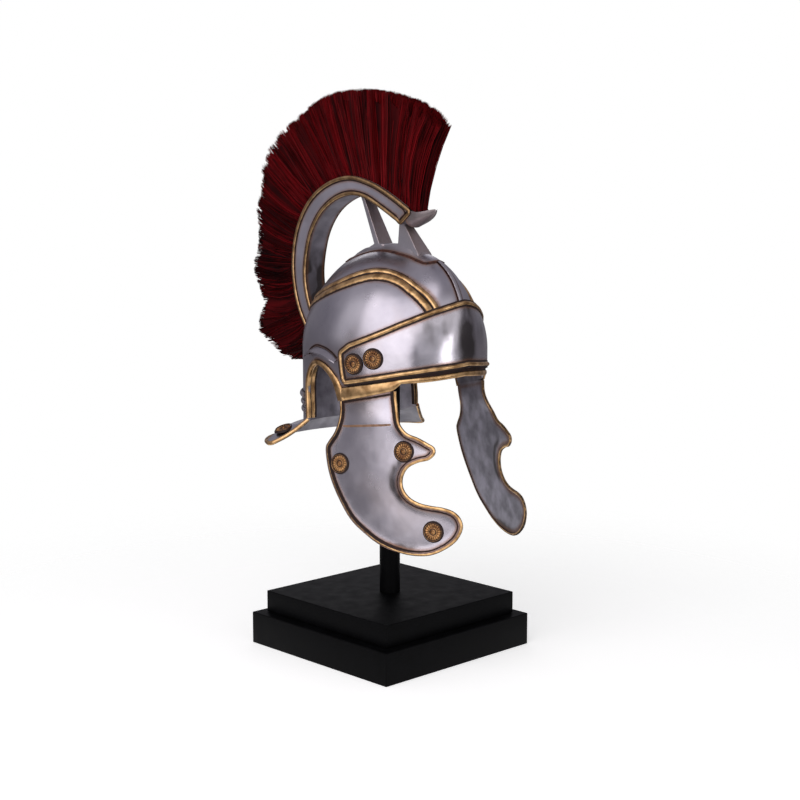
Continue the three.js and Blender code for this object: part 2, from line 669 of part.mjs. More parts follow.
function plume() {
  const root = smooth(PLUME_ROOT.map(([y, z]) => [y, z, 0]), PLUME_STATIONS);
  const tip = smooth(PLUME_TIP.map(([y, z]) => [y, z, 0]), PLUME_STATIONS);
  const sections = root.map((a, i) => {
    const out = tip[i].clone().sub(a);
    const length = out.length();
    out.normalize();
    const sunk = i < 4 || i > PLUME_STATIONS - 3 ? 0 : SLOT_DEPTH - 2;
    const corner = (x, by) => new V(x, a.x + out.x * by, a.y + out.y * by);
    const slot = SLOT_HALF - 0.5;
    return [corner(-slot, -sunk), corner(slot, -sunk), corner(slot, 1.5), corner(15, 9), corner(16, length),
      corner(-16, length), corner(-15, 9), corner(-slot, 1.5)];
  });
  return loft(sections);
}

// ---------------------------------------------------------------- assembly

const helmet = new THREE.Group();

function add(name, geometry, material) {
  const flat = geometry.index ? geometry.toNonIndexed() : geometry;
  flat.computeVertexNormals();
  const mesh = new THREE.Mesh(flat, material);
  mesh.name = name;
  helmet.add(mesh);
}

function addPair(name, right, paint) {
  add(name + "_right", right, paint());
  add(name + "_left", mirrored(right), paint());
}

add("plinth_base", plinthBase(), black());
add("plinth_step", plinthStep(), black());
add("post", post(), black());
add("skull_bowl", skullBowl(), silver());
add("neck_guard", neckGuard(), silver());
add("neck_rim", neckRim(), gilt());
add("brow_plate", browPlate(), silver());
add("brow_plate_trim", browPlateTrim(), gilt());
add("brow_rim", browRim(), gilt());
addPair("ear_rim", earRimRight(), gilt);
addPair("ear_guard", earGuardRight(), silver);
NAPE_RIBS.forEach((rib, i) => add("nape_rib_" + (i + 1), napeRib(rib), silver()));
BAND_SPLIT.forEach((strip, i) => addPair("crown_band_" + (i + 1), crownBandRight(strip), gilt));
add("medial_ridge", medialRidge(), silver());
addPair("cheek_guard", cheekGuardRight(), silver);
addPair("cheek_rim", cheekRimRight(), gilt);
BROW_ROSETTES.forEach((spot, i) => addPair("brow_rosette_" + (i + 1), browRosette(spot), gilt));
CHEEK_ROSETTES.forEach((spot, i) => addPair("cheek_rosette_" + (i + 1), cheekRosette(spot), gilt));
addPair("guard_rosette_1", guardRosette(-0.86), gilt);
add("guard_rosette_2", guardRosette(0), gilt());
add("crest_support", crestSupport(), silver());
add("crest_box", crestBox(), silver());
addPair("crest_trim", crestTrimRight(), gilt);
add("crest_lip", crestLip(), silver());
add("plume", plume(), red());

export default helmet;
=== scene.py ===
import math

import bmesh
import bpy
import numpy as np
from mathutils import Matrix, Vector
from mathutils.geometry import delaunay_2d_cdt
from mathutils.kdtree import KDTree


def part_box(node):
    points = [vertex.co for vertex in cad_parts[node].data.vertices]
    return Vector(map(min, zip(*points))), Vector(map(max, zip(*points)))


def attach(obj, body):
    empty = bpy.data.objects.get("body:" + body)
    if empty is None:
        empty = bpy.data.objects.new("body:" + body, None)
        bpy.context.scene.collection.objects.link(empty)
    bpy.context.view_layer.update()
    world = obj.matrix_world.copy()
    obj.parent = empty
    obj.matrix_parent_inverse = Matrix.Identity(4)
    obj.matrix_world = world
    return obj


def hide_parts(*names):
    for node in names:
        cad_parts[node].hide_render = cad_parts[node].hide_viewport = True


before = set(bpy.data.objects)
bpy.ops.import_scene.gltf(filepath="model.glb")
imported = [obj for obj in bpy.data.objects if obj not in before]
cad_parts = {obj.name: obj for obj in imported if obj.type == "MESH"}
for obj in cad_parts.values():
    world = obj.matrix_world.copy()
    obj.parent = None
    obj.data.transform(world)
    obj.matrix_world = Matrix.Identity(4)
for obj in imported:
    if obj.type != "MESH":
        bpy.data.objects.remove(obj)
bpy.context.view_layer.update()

# ------------------------------------------------------------------ studio
# A pale floor that fades out into a plain white surround. A broad soft lamp lights the helmet's right side,
# a weaker one its face, and three small ones the shadows, so that the steel shows long bright shapes.
# The camera looks over the plinth's front right corner, from the height of the crest's front end.
MM = 0.001


def feed(tree, made, inputs):
    for key, value in inputs.items():
        if isinstance(value, bpy.types.NodeSocket):
            tree.links.new(value, made.inputs[key])
        else:
            made.inputs[key].default_value = value


def node(tree, kind, inputs=None, **settings):
    made = tree.nodes.new(kind)
    for key, value in settings.items():
        setattr(made, key, value)
    feed(tree, made, inputs or {})
    return made


def calc(tree, operation, a, b=0.0, c=0.0):
    return node(tree, "ShaderNodeMath", {0: a, 1: b, 2: c}, operation=operation).outputs[0]


def ramp(tree, factor, *stops):
    """Colours along a factor, each stop a position and a colour or a grey."""
    made = node(tree, "ShaderNodeValToRGB", {0: factor})
    steps = made.color_ramp.elements
    while len(steps) < len(stops):
        steps.new(0.5)
    for step, (position, color) in zip(steps, stops):
        step.position = position
        step.color = (*color, 1) if np.ndim(color) else (color, color, color, 1)
    return made.outputs[0]


def put(name, data):
    made = bpy.data.objects.new(name, data)
    bpy.context.scene.collection.objects.link(made)
    return made


def aim(made, azimuth, elevation, distance, middle):
    """Stand an object this far from the middle, looking at it. Azimuth 0 is straight in front."""
    a, e = math.radians(azimuth), math.radians(elevation)
    back = Vector((math.sin(a) * math.cos(e), -math.cos(a) * math.cos(e), math.sin(e)))
    made.location = Vector(middle) + back * distance
    made.rotation_euler = back.to_track_quat("Z", "Y").to_euler()


# azimuth and elevation in degrees, distance and size in metres, and power in watts
WHITE, WARM = (1, 1, 1), (1.0, 0.97, 0.98)
for name, azimuth, elevation, distance, size, watts, tint in (
        ("key_softbox", -69, 25.5, 2.0, (2.1, 2.96), 31.0, WARM),
        ("low_strip_lamp", 2, -3, 2.1, (0.6, 0.5), 3.4, WHITE),
        ("front_softbox", -8, 14, 2.3, (2.6, 1.8), 9.5, WHITE),
        ("left_softbox", -122, 25, 2.0, (0.7, 1.5), 1.5, WHITE),
        ("back_softbox", 140, 30, 2.2, (1.2, 1.2), 3.0, WHITE)):
    lamp = bpy.data.lights.new(name, "AREA")
    lamp.shape = "RECTANGLE"
    lamp.size, lamp.size_y = size
    lamp.energy = watts
    lamp.color = tint
    aim(put(name, lamp), azimuth, elevation, distance, (0, 0, 0.36))

world = bpy.data.worlds.new("white_surround")
world.use_nodes = True
bpy.context.scene.world = world
sky = world.node_tree
sky.nodes.clear()
ray = node(sky, "ShaderNodeLightPath")
height = node(sky, "ShaderNodeSeparateXYZ", {0: node(sky, "ShaderNodeTexCoord").outputs["Generated"]})
shade = ramp(sky, calc(sky, "MULTIPLY_ADD", height.outputs["Z"], 0.5, 0.5), (0.3, (0.12, 0.113, 0.125)),
             (0.8, (0.34, 0.33, 0.37)))
dim = node(sky, "ShaderNodeBackground", {"Color": shade, "Strength": 1.0})
fill = node(sky, "ShaderNodeBackground", {"Color": (1, 1, 1, 1), "Strength": 0.25})
bright = node(sky, "ShaderNodeBackground", {"Color": (1, 1, 1, 1), "Strength": 1.0})
by_gloss = node(sky, "ShaderNodeMixShader", {0: ray.outputs["Is Glossy Ray"], 1: fill.outputs[0],
                                             2: dim.outputs[0]})
by_view = node(sky, "ShaderNodeMixShader", {0: ray.outputs["Is Camera Ray"], 1: by_gloss.outputs[0],
                                            2: bright.outputs[0]})
node(sky, "ShaderNodeOutputWorld", {0: by_view.outputs[0]})
bpy.context.scene.view_settings.view_transform = "Standard"

bpy.ops.mesh.primitive_circle_add(vertices=96, radius=1.3, fill_type="NGON")
floor = bpy.context.object
floor.name = "floor"
paper = bpy.data.materials.new("pale_paper")
paper.use_nodes = True
sheet = paper.node_tree
sheet.nodes.clear()
where = node(sheet, "ShaderNodeTexCoord").outputs["Object"]
reach = node(sheet, "ShaderNodeVectorMath", {0: where}, operation="LENGTH").outputs["Value"]
fade = node(sheet, "ShaderNodeMapRange", {"Value": reach, "From Min": 0.18, "From Max": 0.9},
            interpolation_type="SMOOTHSTEP").outputs[0]
surface = node(sheet, "ShaderNodeBsdfDiffuse", {"Color": (0.90, 0.90, 0.91, 1)})
lift = node(sheet, "ShaderNodeEmission", {"Color": (1, 1, 1, 1), "Strength": 0.5})
lit = node(sheet, "ShaderNodeAddShader", {0: surface.outputs[0], 1: lift.outputs[0]})
clear = node(sheet, "ShaderNodeBsdfTransparent")
laid = node(sheet, "ShaderNodeMixShader", {0: fade, 1: lit.outputs[0], 2: clear.outputs[0]})
node(sheet, "ShaderNodeOutputMaterial", {0: laid.outputs[0]})
floor.data.materials.append(paper)

AZIMUTH, AIM_HEIGHT, SIDE_STEP = -44.0, 0.3027, 0.0125
lens = bpy.data.cameras.new("camera")
lens.lens = 67.5
lens.sensor_width = 36
camera = put("camera", lens)
turn = math.radians(AZIMUTH)
aim(camera, AZIMUTH, 7.84, 1.8115, (SIDE_STEP * math.cos(turn), SIDE_STEP * math.sin(turn), AIM_HEIGHT))
bpy.context.scene.camera = camera

# ------------------------------------------------------------------ plinth
# Two square boards of planed wood under satin black paint, the smaller glued on the larger.
# Their edges are just eased, and a narrow shadow groove shows where they meet.


def bare_mesh(name, points, faces):
    mesh = bpy.data.meshes.new(name)
    mesh.from_pydata([tuple(p) for p in points], [], faces)
    mesh.validate()
    return mesh


def outward_faces(mesh):
    """Turn every face outwards, and cut those with more than four corners into triangles."""
    shape = bmesh.new()
    shape.from_mesh(mesh)
    bmesh.ops.triangulate(shape, faces=[face for face in shape.faces if len(face.verts) > 4])
    bmesh.ops.recalc_face_normals(shape, faces=shape.faces)
    if shape.calc_volume(signed=True) < 0:
        bmesh.ops.reverse_faces(shape, faces=shape.faces)
    shape.to_mesh(mesh)
    shape.free()


def piece(name, mesh, material, smooth_below=40):
    for polygon in mesh.polygons:
        polygon.use_smooth = True
    mesh.set_sharp_from_angle(angle=math.radians(smooth_below))
    mesh.materials.clear()
    mesh.materials.append(material)
    return put(name, mesh)


def fit(made, slot, *nodes):
    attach(made, "root")
    if nodes:
        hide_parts(*nodes)


def new_finish(name):
    finish = bpy.data.materials.new(name)
    finish.use_nodes = True
    tree = finish.node_tree
    return finish, tree, tree.nodes["Principled BSDF"]


def grain(tree, scale, detail=3.0, stretch=(1, 1, 1)):
    place = node(tree, "ShaderNodeTexCoord").outputs["Object"]
    placed = node(tree, "ShaderNodeMapping", {"Vector": place, "Scale": stretch})
    noise = node(tree, "ShaderNodeTexNoise", {"Vector": placed.outputs[0], "Scale": scale, "Detail": detail})
    return noise.outputs[0]


def relief(tree, height, depth, strength):
    return node(tree, "ShaderNodeBump", {"Height": height, "Distance": depth, "Strength": strength}).outputs[0]


satin_black, coat, shader = new_finish("satin_black_paint")
mottle = grain(coat, 60, 4)
feed(coat, shader, {
    "Base Color": ramp(coat, mottle, (0.3, (0.0012, 0.0012, 0.0014)), (0.7, (0.0026, 0.0026, 0.0031))),
    "Roughness": ramp(coat, mottle, (0.3, 0.42), (0.7, 0.54)), "Specular IOR Level": 0.045,
    "Normal": relief(coat, grain(coat, 500, 2), 0.0002, 0.12)})


for name, cad, ease in (("plinth_lower_board", "plinth_base", 0.0012),
                        ("plinth_upper_board", "plinth_step", 0.0010)):
    low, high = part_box(cad)
    shape = bmesh.new()
    bmesh.ops.create_cube(shape, size=1)
    for corner in shape.verts:
        corner.co = Vector([low[i] if corner.co[i] < 0 else high[i] for i in range(3)])
    bmesh.ops.bevel(shape, geom=shape.edges[:], offset=ease, segments=4, profile=0.5, affect="EDGES")
    mesh = bpy.data.meshes.new(name)
    shape.to_mesh(mesh)
    shape.free()
    fit(piece(name, mesh, satin_black, 25), "black_stand", cad)

# ------------------------------------------------------------------ post
# One round wooden rod, painted like the plinth, that stands on the upper board. Its rounded head carries
# the helmet from inside, under the crown.


def grid_faces(rows, columns, closed=False, start=0, looped=False):
    """Quads over a grid of points. closed joins its last column to the first, looped its last row."""
    faces = []
    for i in range(rows if looped else rows - 1):
        row, after = start + i * columns, start + (i + 1) % rows * columns
        for j in range(columns if closed else columns - 1):
            k = (j + 1) % columns
            faces.append((row + j, row + k, after + k, after + j))
    return faces


def loft(name, rings):
    """A closed skin over rings of points in millimetres, with a flat cap at each end."""
    rows, count = rings.shape[:2]
    caps = [tuple(range(count))[::-1], tuple((rows - 1) * count + i for i in range(count))]
    mesh = bare_mesh(name, rings.reshape(-1, 3) * MM, grid_faces(rows, count, True) + caps)
    outward_faces(mesh)
    return mesh


DOME_ROUND = 6.0
low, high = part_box("post")
radius, post_top = (high.x - low.x) / 2 / MM, high.z / MM
post_profile = [(radius, low.z / MM), (radius, post_top - DOME_ROUND)]
for turn in np.arange(1, 7) * math.pi / 13:
    post_profile.append((radius - DOME_ROUND * (1 - math.cos(turn)),
                         post_top - DOME_ROUND * (1 - math.sin(turn))))
turns = np.linspace(0, 2 * math.pi, 64, endpoint=False)
rings = np.array([[(r * math.cos(turn), r * math.sin(turn), z) for turn in turns] for r, z in post_profile])
fit(piece("post_rod", loft("post_rod", rings), satin_black, 30), "black_stand", "post")

# ------------------------------------------------------------------ skull
# The bowl is raised from one sheet of steel, 2.4 mm thick and polished outside. It keels up a little on
# the centre line at the brow and the nape, and is cut away over the cheeks and the ears.
HALF_LENGTH, HALF_WIDTH, MID_Y = 118.0, 100.0, -5.7
SPRING_Z, RISE = 369.4, 116.5
WALL = 2.4


def unit(ways):
    return ways / np.linalg.norm(ways, axis=-1, keepdims=True)


def eased(share):
    share = np.clip(share, 0, 1)
    return share * share * (3 - 2 * share)


def hump(distance, spread):
    return np.exp(-(distance / spread) ** 2)


def roundness(deg):
    return 1.83 + 0.95 * hump(deg, 20) + 0.5 * hump(180 - np.abs(deg), 24)


def skull_at(deg, z):
    deg, z = np.broadcast_arrays(np.asarray(deg, float), np.asarray(z, float))
    power = roundness(deg)
    reach = (1 - np.clip((z - SPRING_Z) / RISE, 0, 1) ** power) ** (1 / power)
    turn = np.radians(deg)
    return np.stack([HALF_WIDTH * reach * np.sin(turn), MID_Y - HALF_LENGTH * reach * np.cos(turn), z], -1)


def crown_at(x, y):
    x, y = np.broadcast_arrays(np.asarray(x, float), np.asarray(y, float))
    power = roundness(np.degrees(np.arctan2(x / HALF_WIDTH, (MID_Y - y) / HALF_LENGTH)))
    reach = np.minimum(np.hypot(x / HALF_WIDTH, (y - MID_Y) / HALF_LENGTH), 1)
    return np.stack([x, y, SPRING_Z + RISE * (1 - reach ** power) ** (1 / power)], -1)


def outward(p):
    across, along = p[..., 0] / HALF_WIDTH, (p[..., 1] - MID_Y) / HALF_LENGTH
    power = roundness(np.degrees(np.arctan2(across, -along)))
    spread = np.maximum(np.hypot(across, along), 1e-3) ** (power - 2)
    rise = np.maximum((p[..., 2] - SPRING_Z) / RISE, 0) ** (power - 1)
    return unit(np.stack([across * spread / HALF_WIDTH, along * spread / HALF_LENGTH, rise / RISE], -1))


def level(ways):
    """The same ways out, turned to lie level."""
    return unit(ways * (1, 1, 0))


def attribute(tree, name):
    return node(tree, "ShaderNodeAttribute", attribute_name=name).outputs["Fac"]


def mix(tree, share, a, b):
    return node(tree, "ShaderNodeMix", {"Factor": share, "A": a, "B": b}, data_type="RGBA").outputs["Result"]


def clamped(tree, a, b):
    return node(tree, "ShaderNodeMath", {0: a, 1: b}, operation="MULTIPLY", use_clamp=True).outputs[0]


def steel(name, light=(0.56, 0.53, 0.58), dark=(0.40, 0.38, 0.43), polish=0.26, mottle=0.0, dents=0.0,
          back=(0.44, 0.42, 0.48)):
    """Worn polished steel. The attribute "stain" lays dark wax on it, and painted shade in the gap under the brow
    plate;
    "inner" makes it matt and dull, and "mottle" brings out dark blots, which are painted shade in the cheek
    notches and under the crest's low end."""
    finish, tree, shader = new_finish(name)
    bright = ramp(tree, grain(tree, 14, 5), (0.36, dark), (0.62, light))
    tinted = mix(tree, ramp(tree, grain(tree, 9, 6), (0.52, 0), (0.72, 0.5)), bright, (0.34, 0.27, 0.24, 1))
    inner = attribute(tree, "inner")
    rough_side = ramp(tree, grain(tree, 55, 6), (0.35, [0.52 * tone for tone in back]), (0.65, back))
    color = mix(tree, inner, tinted, rough_side)
    if mottle:
        blots = ramp(tree, grain(tree, 42, 2, (1, 1, 0.6)), (0.38, 0.25), (0.62, 1.2))
        spread = calc(tree, "MULTIPLY", clamped(tree, attribute(tree, "mottle"), blots), mottle)
        color = mix(tree, spread, color, (0.06, 0.05, 0.045, 1))
    soiled = clamped(tree, attribute(tree, "stain"), calc(tree, "MULTIPLY_ADD", grain(tree, 260, 4), 0.8, 0.6))
    hazed = mix(tree, ramp(tree, soiled, (0.04, 0), (0.3, 0.62)), color, (0.27, 0.115, 0.05, 1))
    caked = mix(tree, ramp(tree, soiled, (0.25, 0), (0.62, 1)), hazed, (0.022, 0.007, 0.0045, 1))
    worn = ramp(tree, grain(tree, 34, 3), (0.35, polish), (0.7, polish + 0.09))
    hammer = calc(tree, "MULTIPLY_ADD", grain(tree, 75, 2), dents, grain(tree, 26, 2))
    feed(tree, shader, {
        "Base Color": caked, "Metallic": calc(tree, "MULTIPLY_ADD", soiled, -0.6, 1.0),
        "Roughness": calc(tree, "MULTIPLY_ADD", soiled, 0.25, calc(tree, "MULTIPLY_ADD", inner, 0.22, worn)),
        "Normal": relief(tree, hammer, 0.0016, 0.22)})
    return finish


def mark(mesh, name, values):
    mesh.attributes.new(name, "FLOAT", "POINT").data.foreach_set("value", np.asarray(values, np.float32))


# lower edge of the skull from the side: brow, cheek hinge line, ear arch and nape, as (y, z)
SKULL_EDGE = [(-160, 343), (-124, 342.5), (-121, 341), (-108, 338), (-90, 337.5), (-85.7, 330), (-61, 324),
              (-22, 316), (-17, 321), (-13.5, 329), (-5, 341), (2, 347.5), (9.9, 351), (17, 353), (23, 353),
              (31.5, 349), (39, 342), (45.6, 325), (46.2, 311), (46.3, 283.5), (80.6, 271.3), (160, 271.3)]


def skull_edge(y):
    return np.interp(y, *zip(*SKULL_EDGE))


def bowl_rows(degs, wall_rows, dome_rows):
    foot = skull_edge(MID_Y - HALF_LENGTH * np.cos(np.radians(degs)))
    heights = [foot + (SPRING_Z - foot) * t for t in np.linspace(0, 1, wall_rows, endpoint=False)]
    for t in np.linspace(0, 1, dome_rows, endpoint=False):
        heights.append(SPRING_Z + RISE * np.sin(t * math.pi / 2) ** (2 / roundness(degs)))
    return np.stack([skull_at(degs, z) for z in heights])


degs = np.linspace(-180, 180, 432, endpoint=False)
for corner in (-51.9, -52.0, 16.3):
    for side in (-1, 1):
        corner_deg = side * math.degrees(math.acos(corner / HALF_LENGTH))
        degs[np.argmin(np.abs(degs - corner_deg))] = corner_deg
outer = bowl_rows(degs, 22, 64)
inner = bowl_rows(degs, 8, 26)
inner = inner - outward(inner) * WALL
columns, top = len(degs), outer[..., 0].size
points = [*outer.reshape(-1, 3), (0, MID_Y, SPRING_Z + RISE), *inner.reshape(-1, 3),
          (0, MID_Y, SPRING_Z + RISE - WALL)]
faces = grid_faces(len(outer), columns, True)
under = top + 1
faces += [(top - columns + j, top - columns + (j + 1) % columns, top) for j in range(columns)]
faces += [f[::-1] for f in grid_faces(len(inner), columns, True, under)]
last = under + len(inner) * columns
faces += [(last - columns + (j + 1) % columns, last - columns + j, last) for j in range(columns)]
faces += [((j + 1) % columns, j, under + j, under + (j + 1) % columns) for j in range(columns)]
skull_mesh = bare_mesh("skull", np.array(points) * MM, faces)
mark(skull_mesh, "inner", [0] * under + [1] * (len(points) - under))
outward_faces(skull_mesh)
skull_steel = steel("polished_steel", light=(0.53, 0.50, 0.55), dark=(0.37, 0.35, 0.40))
skull = piece("skull", skull_mesh, skull_steel, 50)
fit(skull, "polished_steel", "skull_bowl")

# ------------------------------------------------------------------ neck guard
# The skull's sheet turns outwards under the nape into a broad sloping guard with a rounded edge.
BEND_DEG, BEND_SIDE_Z, BEND_BACK_Z = 115.5, 284.0, 272.0
GUARD_EDGE = [(127, 71.5, 256.5), (115, 93, 255.5), (86.5, 116.5, 254), (47, 134, 253.5), (0, 140, 253.5)]
GUARD_SAG, GUARD_SWELL = 3.0, 6.0


def smooth_line(points, count, closed=False):
    """Evenly spaced points of a smooth curve through the given ones."""
    points = np.array(points, float)
    n = len(points)
    spans = n if closed else n - 1
    fine = []
    for i in range(spans):
        if closed:
            p = [points[(i + k) % n] for k in (-1, 0, 1, 2)]
        else:
            before = points[i - 1] if i else 2 * points[0] - points[1]
            after = points[i + 2] if i + 2 < n else 2 * points[-1] - points[-2]
            p = [before, points[i], points[i + 1], after]
        knots = np.cumsum([0] + [max(np.linalg.norm(b - a), 1e-9) ** 0.5 for a, b in zip(p, p[1:])])
        for t in np.linspace(knots[1], knots[2], 24, endpoint=False):
            blend = [((knots[k + 1] - t) * p[k] + (t - knots[k]) * p[k + 1]) / (knots[k + 1] - knots[k])
                     for k in range(3)]
            pair = [((knots[k + 2] - t) * blend[k] + (t - knots[k]) * blend[k + 1]) / (knots[k + 2] - knots[k])
                    for k in range(2)]
            fine.append(((knots[2] - t) * pair[0] + (t - knots[1]) * pair[1]) / (knots[2] - knots[1]))
    fine.append(fine[0] if closed else points[-1])
    fine = np.array(fine)
    length = np.concatenate([[0], np.cumsum(np.linalg.norm(np.diff(fine, axis=0), axis=1))])
    places = np.linspace(0, length[-1], count + 1 if closed else count)[:count]
    return np.stack([np.interp(places, length, fine[:, k]) for k in range(points.shape[1])], -1)


guard_line = smooth_line([(-x, y, z) for x, y, z in GUARD_EDGE] + GUARD_EDGE[-2::-1], 400)


def guard_at(t, s):
    """t runs from the right front corner (-1) round the back to the left (1), s from bend to edge."""
    t, s = np.broadcast_arrays(np.asarray(t, float), np.asarray(s, float))
    deg = np.where(t < 0, -BEND_DEG + (BEND_DEG - 180) * (1 + t), BEND_DEG + (180 - BEND_DEG) * (1 - t))
    bend_z = BEND_SIDE_Z + (BEND_BACK_Z - BEND_SIDE_Z) * np.minimum(1, 3 * (1 - np.abs(t)))
    bend = skull_at(deg, bend_z + 0.6)
    at = (t + 1) / 2 * (len(guard_line) - 1)
    edge = np.stack([np.interp(at, np.arange(len(guard_line)), guard_line[:, k]) for k in range(3)], -1)
    place = bend + (edge - bend) * s[..., None]
    swell = (GUARD_SAG + GUARD_SWELL) * eased((1 - np.abs(t)) / 0.2)
    place[..., 2] += (swell - GUARD_SAG) * np.sin(math.pi * s)
    return place


def slab(name, top, under):
    """A closed sheet between two grids of points of the same size."""
    rows, columns = top.shape[:2]
    faces = grid_faces(rows, columns) + [f[::-1] for f in grid_faces(rows, columns, start=rows * columns)]
    ring = [(0, j) for j in range(columns)] + [(i, columns - 1) for i in range(1, rows)]
    ring += [(rows - 1, j) for j in range(columns - 2, -1, -1)] + [(i, 0) for i in range(rows - 2, 0, -1)]
    for (i, j), (k, m) in zip(ring, ring[1:] + ring[:1]):
        a, b = i * columns + j, k * columns + m
        faces.append((b, a, a + rows * columns, b + rows * columns))
    mesh = bare_mesh(name, np.concatenate([top.reshape(-1, 3), under.reshape(-1, 3)]) * MM, faces)
    outward_faces(mesh)
    return mesh


across, along = np.meshgrid(np.linspace(0, 1, 22), np.linspace(-1, 1, 220), indexing="ij")
guard_top = guard_at(along, across)
guard_under = guard_top - np.array([0, 0, WALL])
guard_mesh = slab("neck_guard_plate", guard_top, guard_under)
# The underside takes a darker dull colour than the other steels, painted shade under the guard.
mark(guard_mesh, "inner", [0] * guard_top[..., 0].size + [0.75] * guard_under[..., 0].size)
guard = piece("neck_guard_plate", guard_mesh, steel("guard_steel", back=(0.27, 0.26, 0.30)), 50)
fit(guard, "polished_steel", "neck_guard")

# ------------------------------------------------------------------ brow plate
# A stiffening plate of the same steel, laid round the front of the bowl and creased at its middle.
# Its face is the most handled part, so dark marks gather beside the crease.
BROW_TOP = [(0, 429), (6, 427.5), (13.5, 424), (22, 419.5), (30, 414.5), (44, 405), (61, 391.5), (75, 380.5),
            (80, 373), (83, 366)]
BROW_BOTTOM = [(0, 355), (26, 350.5), (44, 345.5), (62, 339), (78, 333), (80.5, 352), (83, 370)]
BROW_WALL = 2.6


def brow_at(deg, z, by=0.0):
    place = skull_at(deg, z)
    out = level(outward(place))
    tent = np.sqrt(np.clip(np.abs(np.asarray(deg, float)) / 45, 0, 1) ** 2 + 0.0012)
    proud = 2.4 + 4.1 * np.maximum(0, 1 - tent)
    return place + out * np.broadcast_to(proud + by, place.shape[:-1])[..., None]


brow_degs = np.linspace(-82.4, 82.4, 331)
heights = np.linspace(0, 1, 46)[:, None]
brow_low = np.interp(np.abs(brow_degs), *zip(*BROW_BOTTOM))
brow_high = np.interp(np.abs(brow_degs), *zip(*BROW_TOP))
brow_z = brow_low + (brow_high - brow_low) * heights
brow_mesh = slab("brow_plate_face", brow_at(brow_degs, brow_z), brow_at(brow_degs, brow_z, -BROW_WALL))
brow_steel = steel("brow_steel", light=(0.60, 0.57, 0.62), polish=0.19, mottle=0.85, dents=0.3)
brow = piece("brow_plate_face", brow_mesh, brow_steel, 50)
fit(brow, "polished_steel", "brow_plate")

# ------------------------------------------------------------------ gilt bands and edgings
# Every edging is a gilt brass wire or strip, drawn to shape, bent along its line and soldered down.
# Dark wax sits in the corner on both sides of each one.


def gilt(name, light=(0.76, 0.48, 0.23), dark=(0.33, 0.185, 0.08)):
    """Aged gilding. The attribute "seam" is 0 on top of the wire, 1 at its foot and more beside it. A second
    attribute, added to it, darkens the gilding further as painted shade.
    """
    finish, tree, shader = new_finish(name)
    depth = calc(tree, "ADD", attribute(tree, "seam"), attribute(tree, "painted_shade"))
    depth = calc(tree, "ADD", depth, calc(tree, "MULTIPLY_ADD", grain(tree, 260, 3), 0.4, -0.2))
    wax_and_shade = ramp(tree, depth, (0.8, 0), (1.02, 1))
    gold = ramp(tree, grain(tree, 90, 5), (0.36, dark), (0.6, light))
    feed(tree, shader, {
        "Base Color": mix(tree, wax_and_shade, gold, (0.018, 0.005, 0.003, 1)),
        "Metallic": calc(tree, "MULTIPLY_ADD", wax_and_shade, -0.75, 1.0),
        "Roughness": ramp(tree, wax_and_shade, (0, 0.33), (1, 0.6)),
        "Normal": relief(tree, grain(tree, 420, 3), 0.0003, 0.35)})
    return finish


def old_wax(name="old_wax", light=(0.030, 0.008, 0.0045), dark=(0.007, 0.003, 0.0025)):
    finish, tree, shader = new_finish(name)
    feed(tree, shader, {
        "Base Color": ramp(tree, grain(tree, 240, 4), (0.35, dark), (0.68, light)), "Roughness": 0.62,
        "Specular IOR Level": 0.3, "Normal": relief(tree, grain(tree, 500, 3), 0.0003, 0.4)})
    return finish


def geometry_tree(name, inputs, output):
    tree = bpy.data.node_groups.new(name, "GeometryNodeTree")
    tree.is_modifier = True
    for label, (kind, value) in inputs.items():
        socket = tree.interface.new_socket(label, in_out="INPUT", socket_type="NodeSocket" + kind)
        if value is not None:
            socket.default_value = value
    tree.interface.new_socket(output, in_out="OUTPUT", socket_type="NodeSocketGeometry")
    return tree, node(tree, "NodeGroupInput").outputs


def stored(tree, name, kind="FLOAT_VECTOR"):
    return node(tree, "GeometryNodeInputNamedAttribute", {"Name": name}, data_type=kind).outputs[0]


def realized(tree, geometry):
    return node(tree, "GeometryNodeRealizeInstances", {"Geometry": geometry}).outputs[0]


def painted_output(tree, geometry, finish):
    painted = node(tree, "GeometryNodeSetMaterial", {"Geometry": geometry, "Material": finish})
    node(tree, "NodeGroupOutput", {0: painted.outputs[0]})


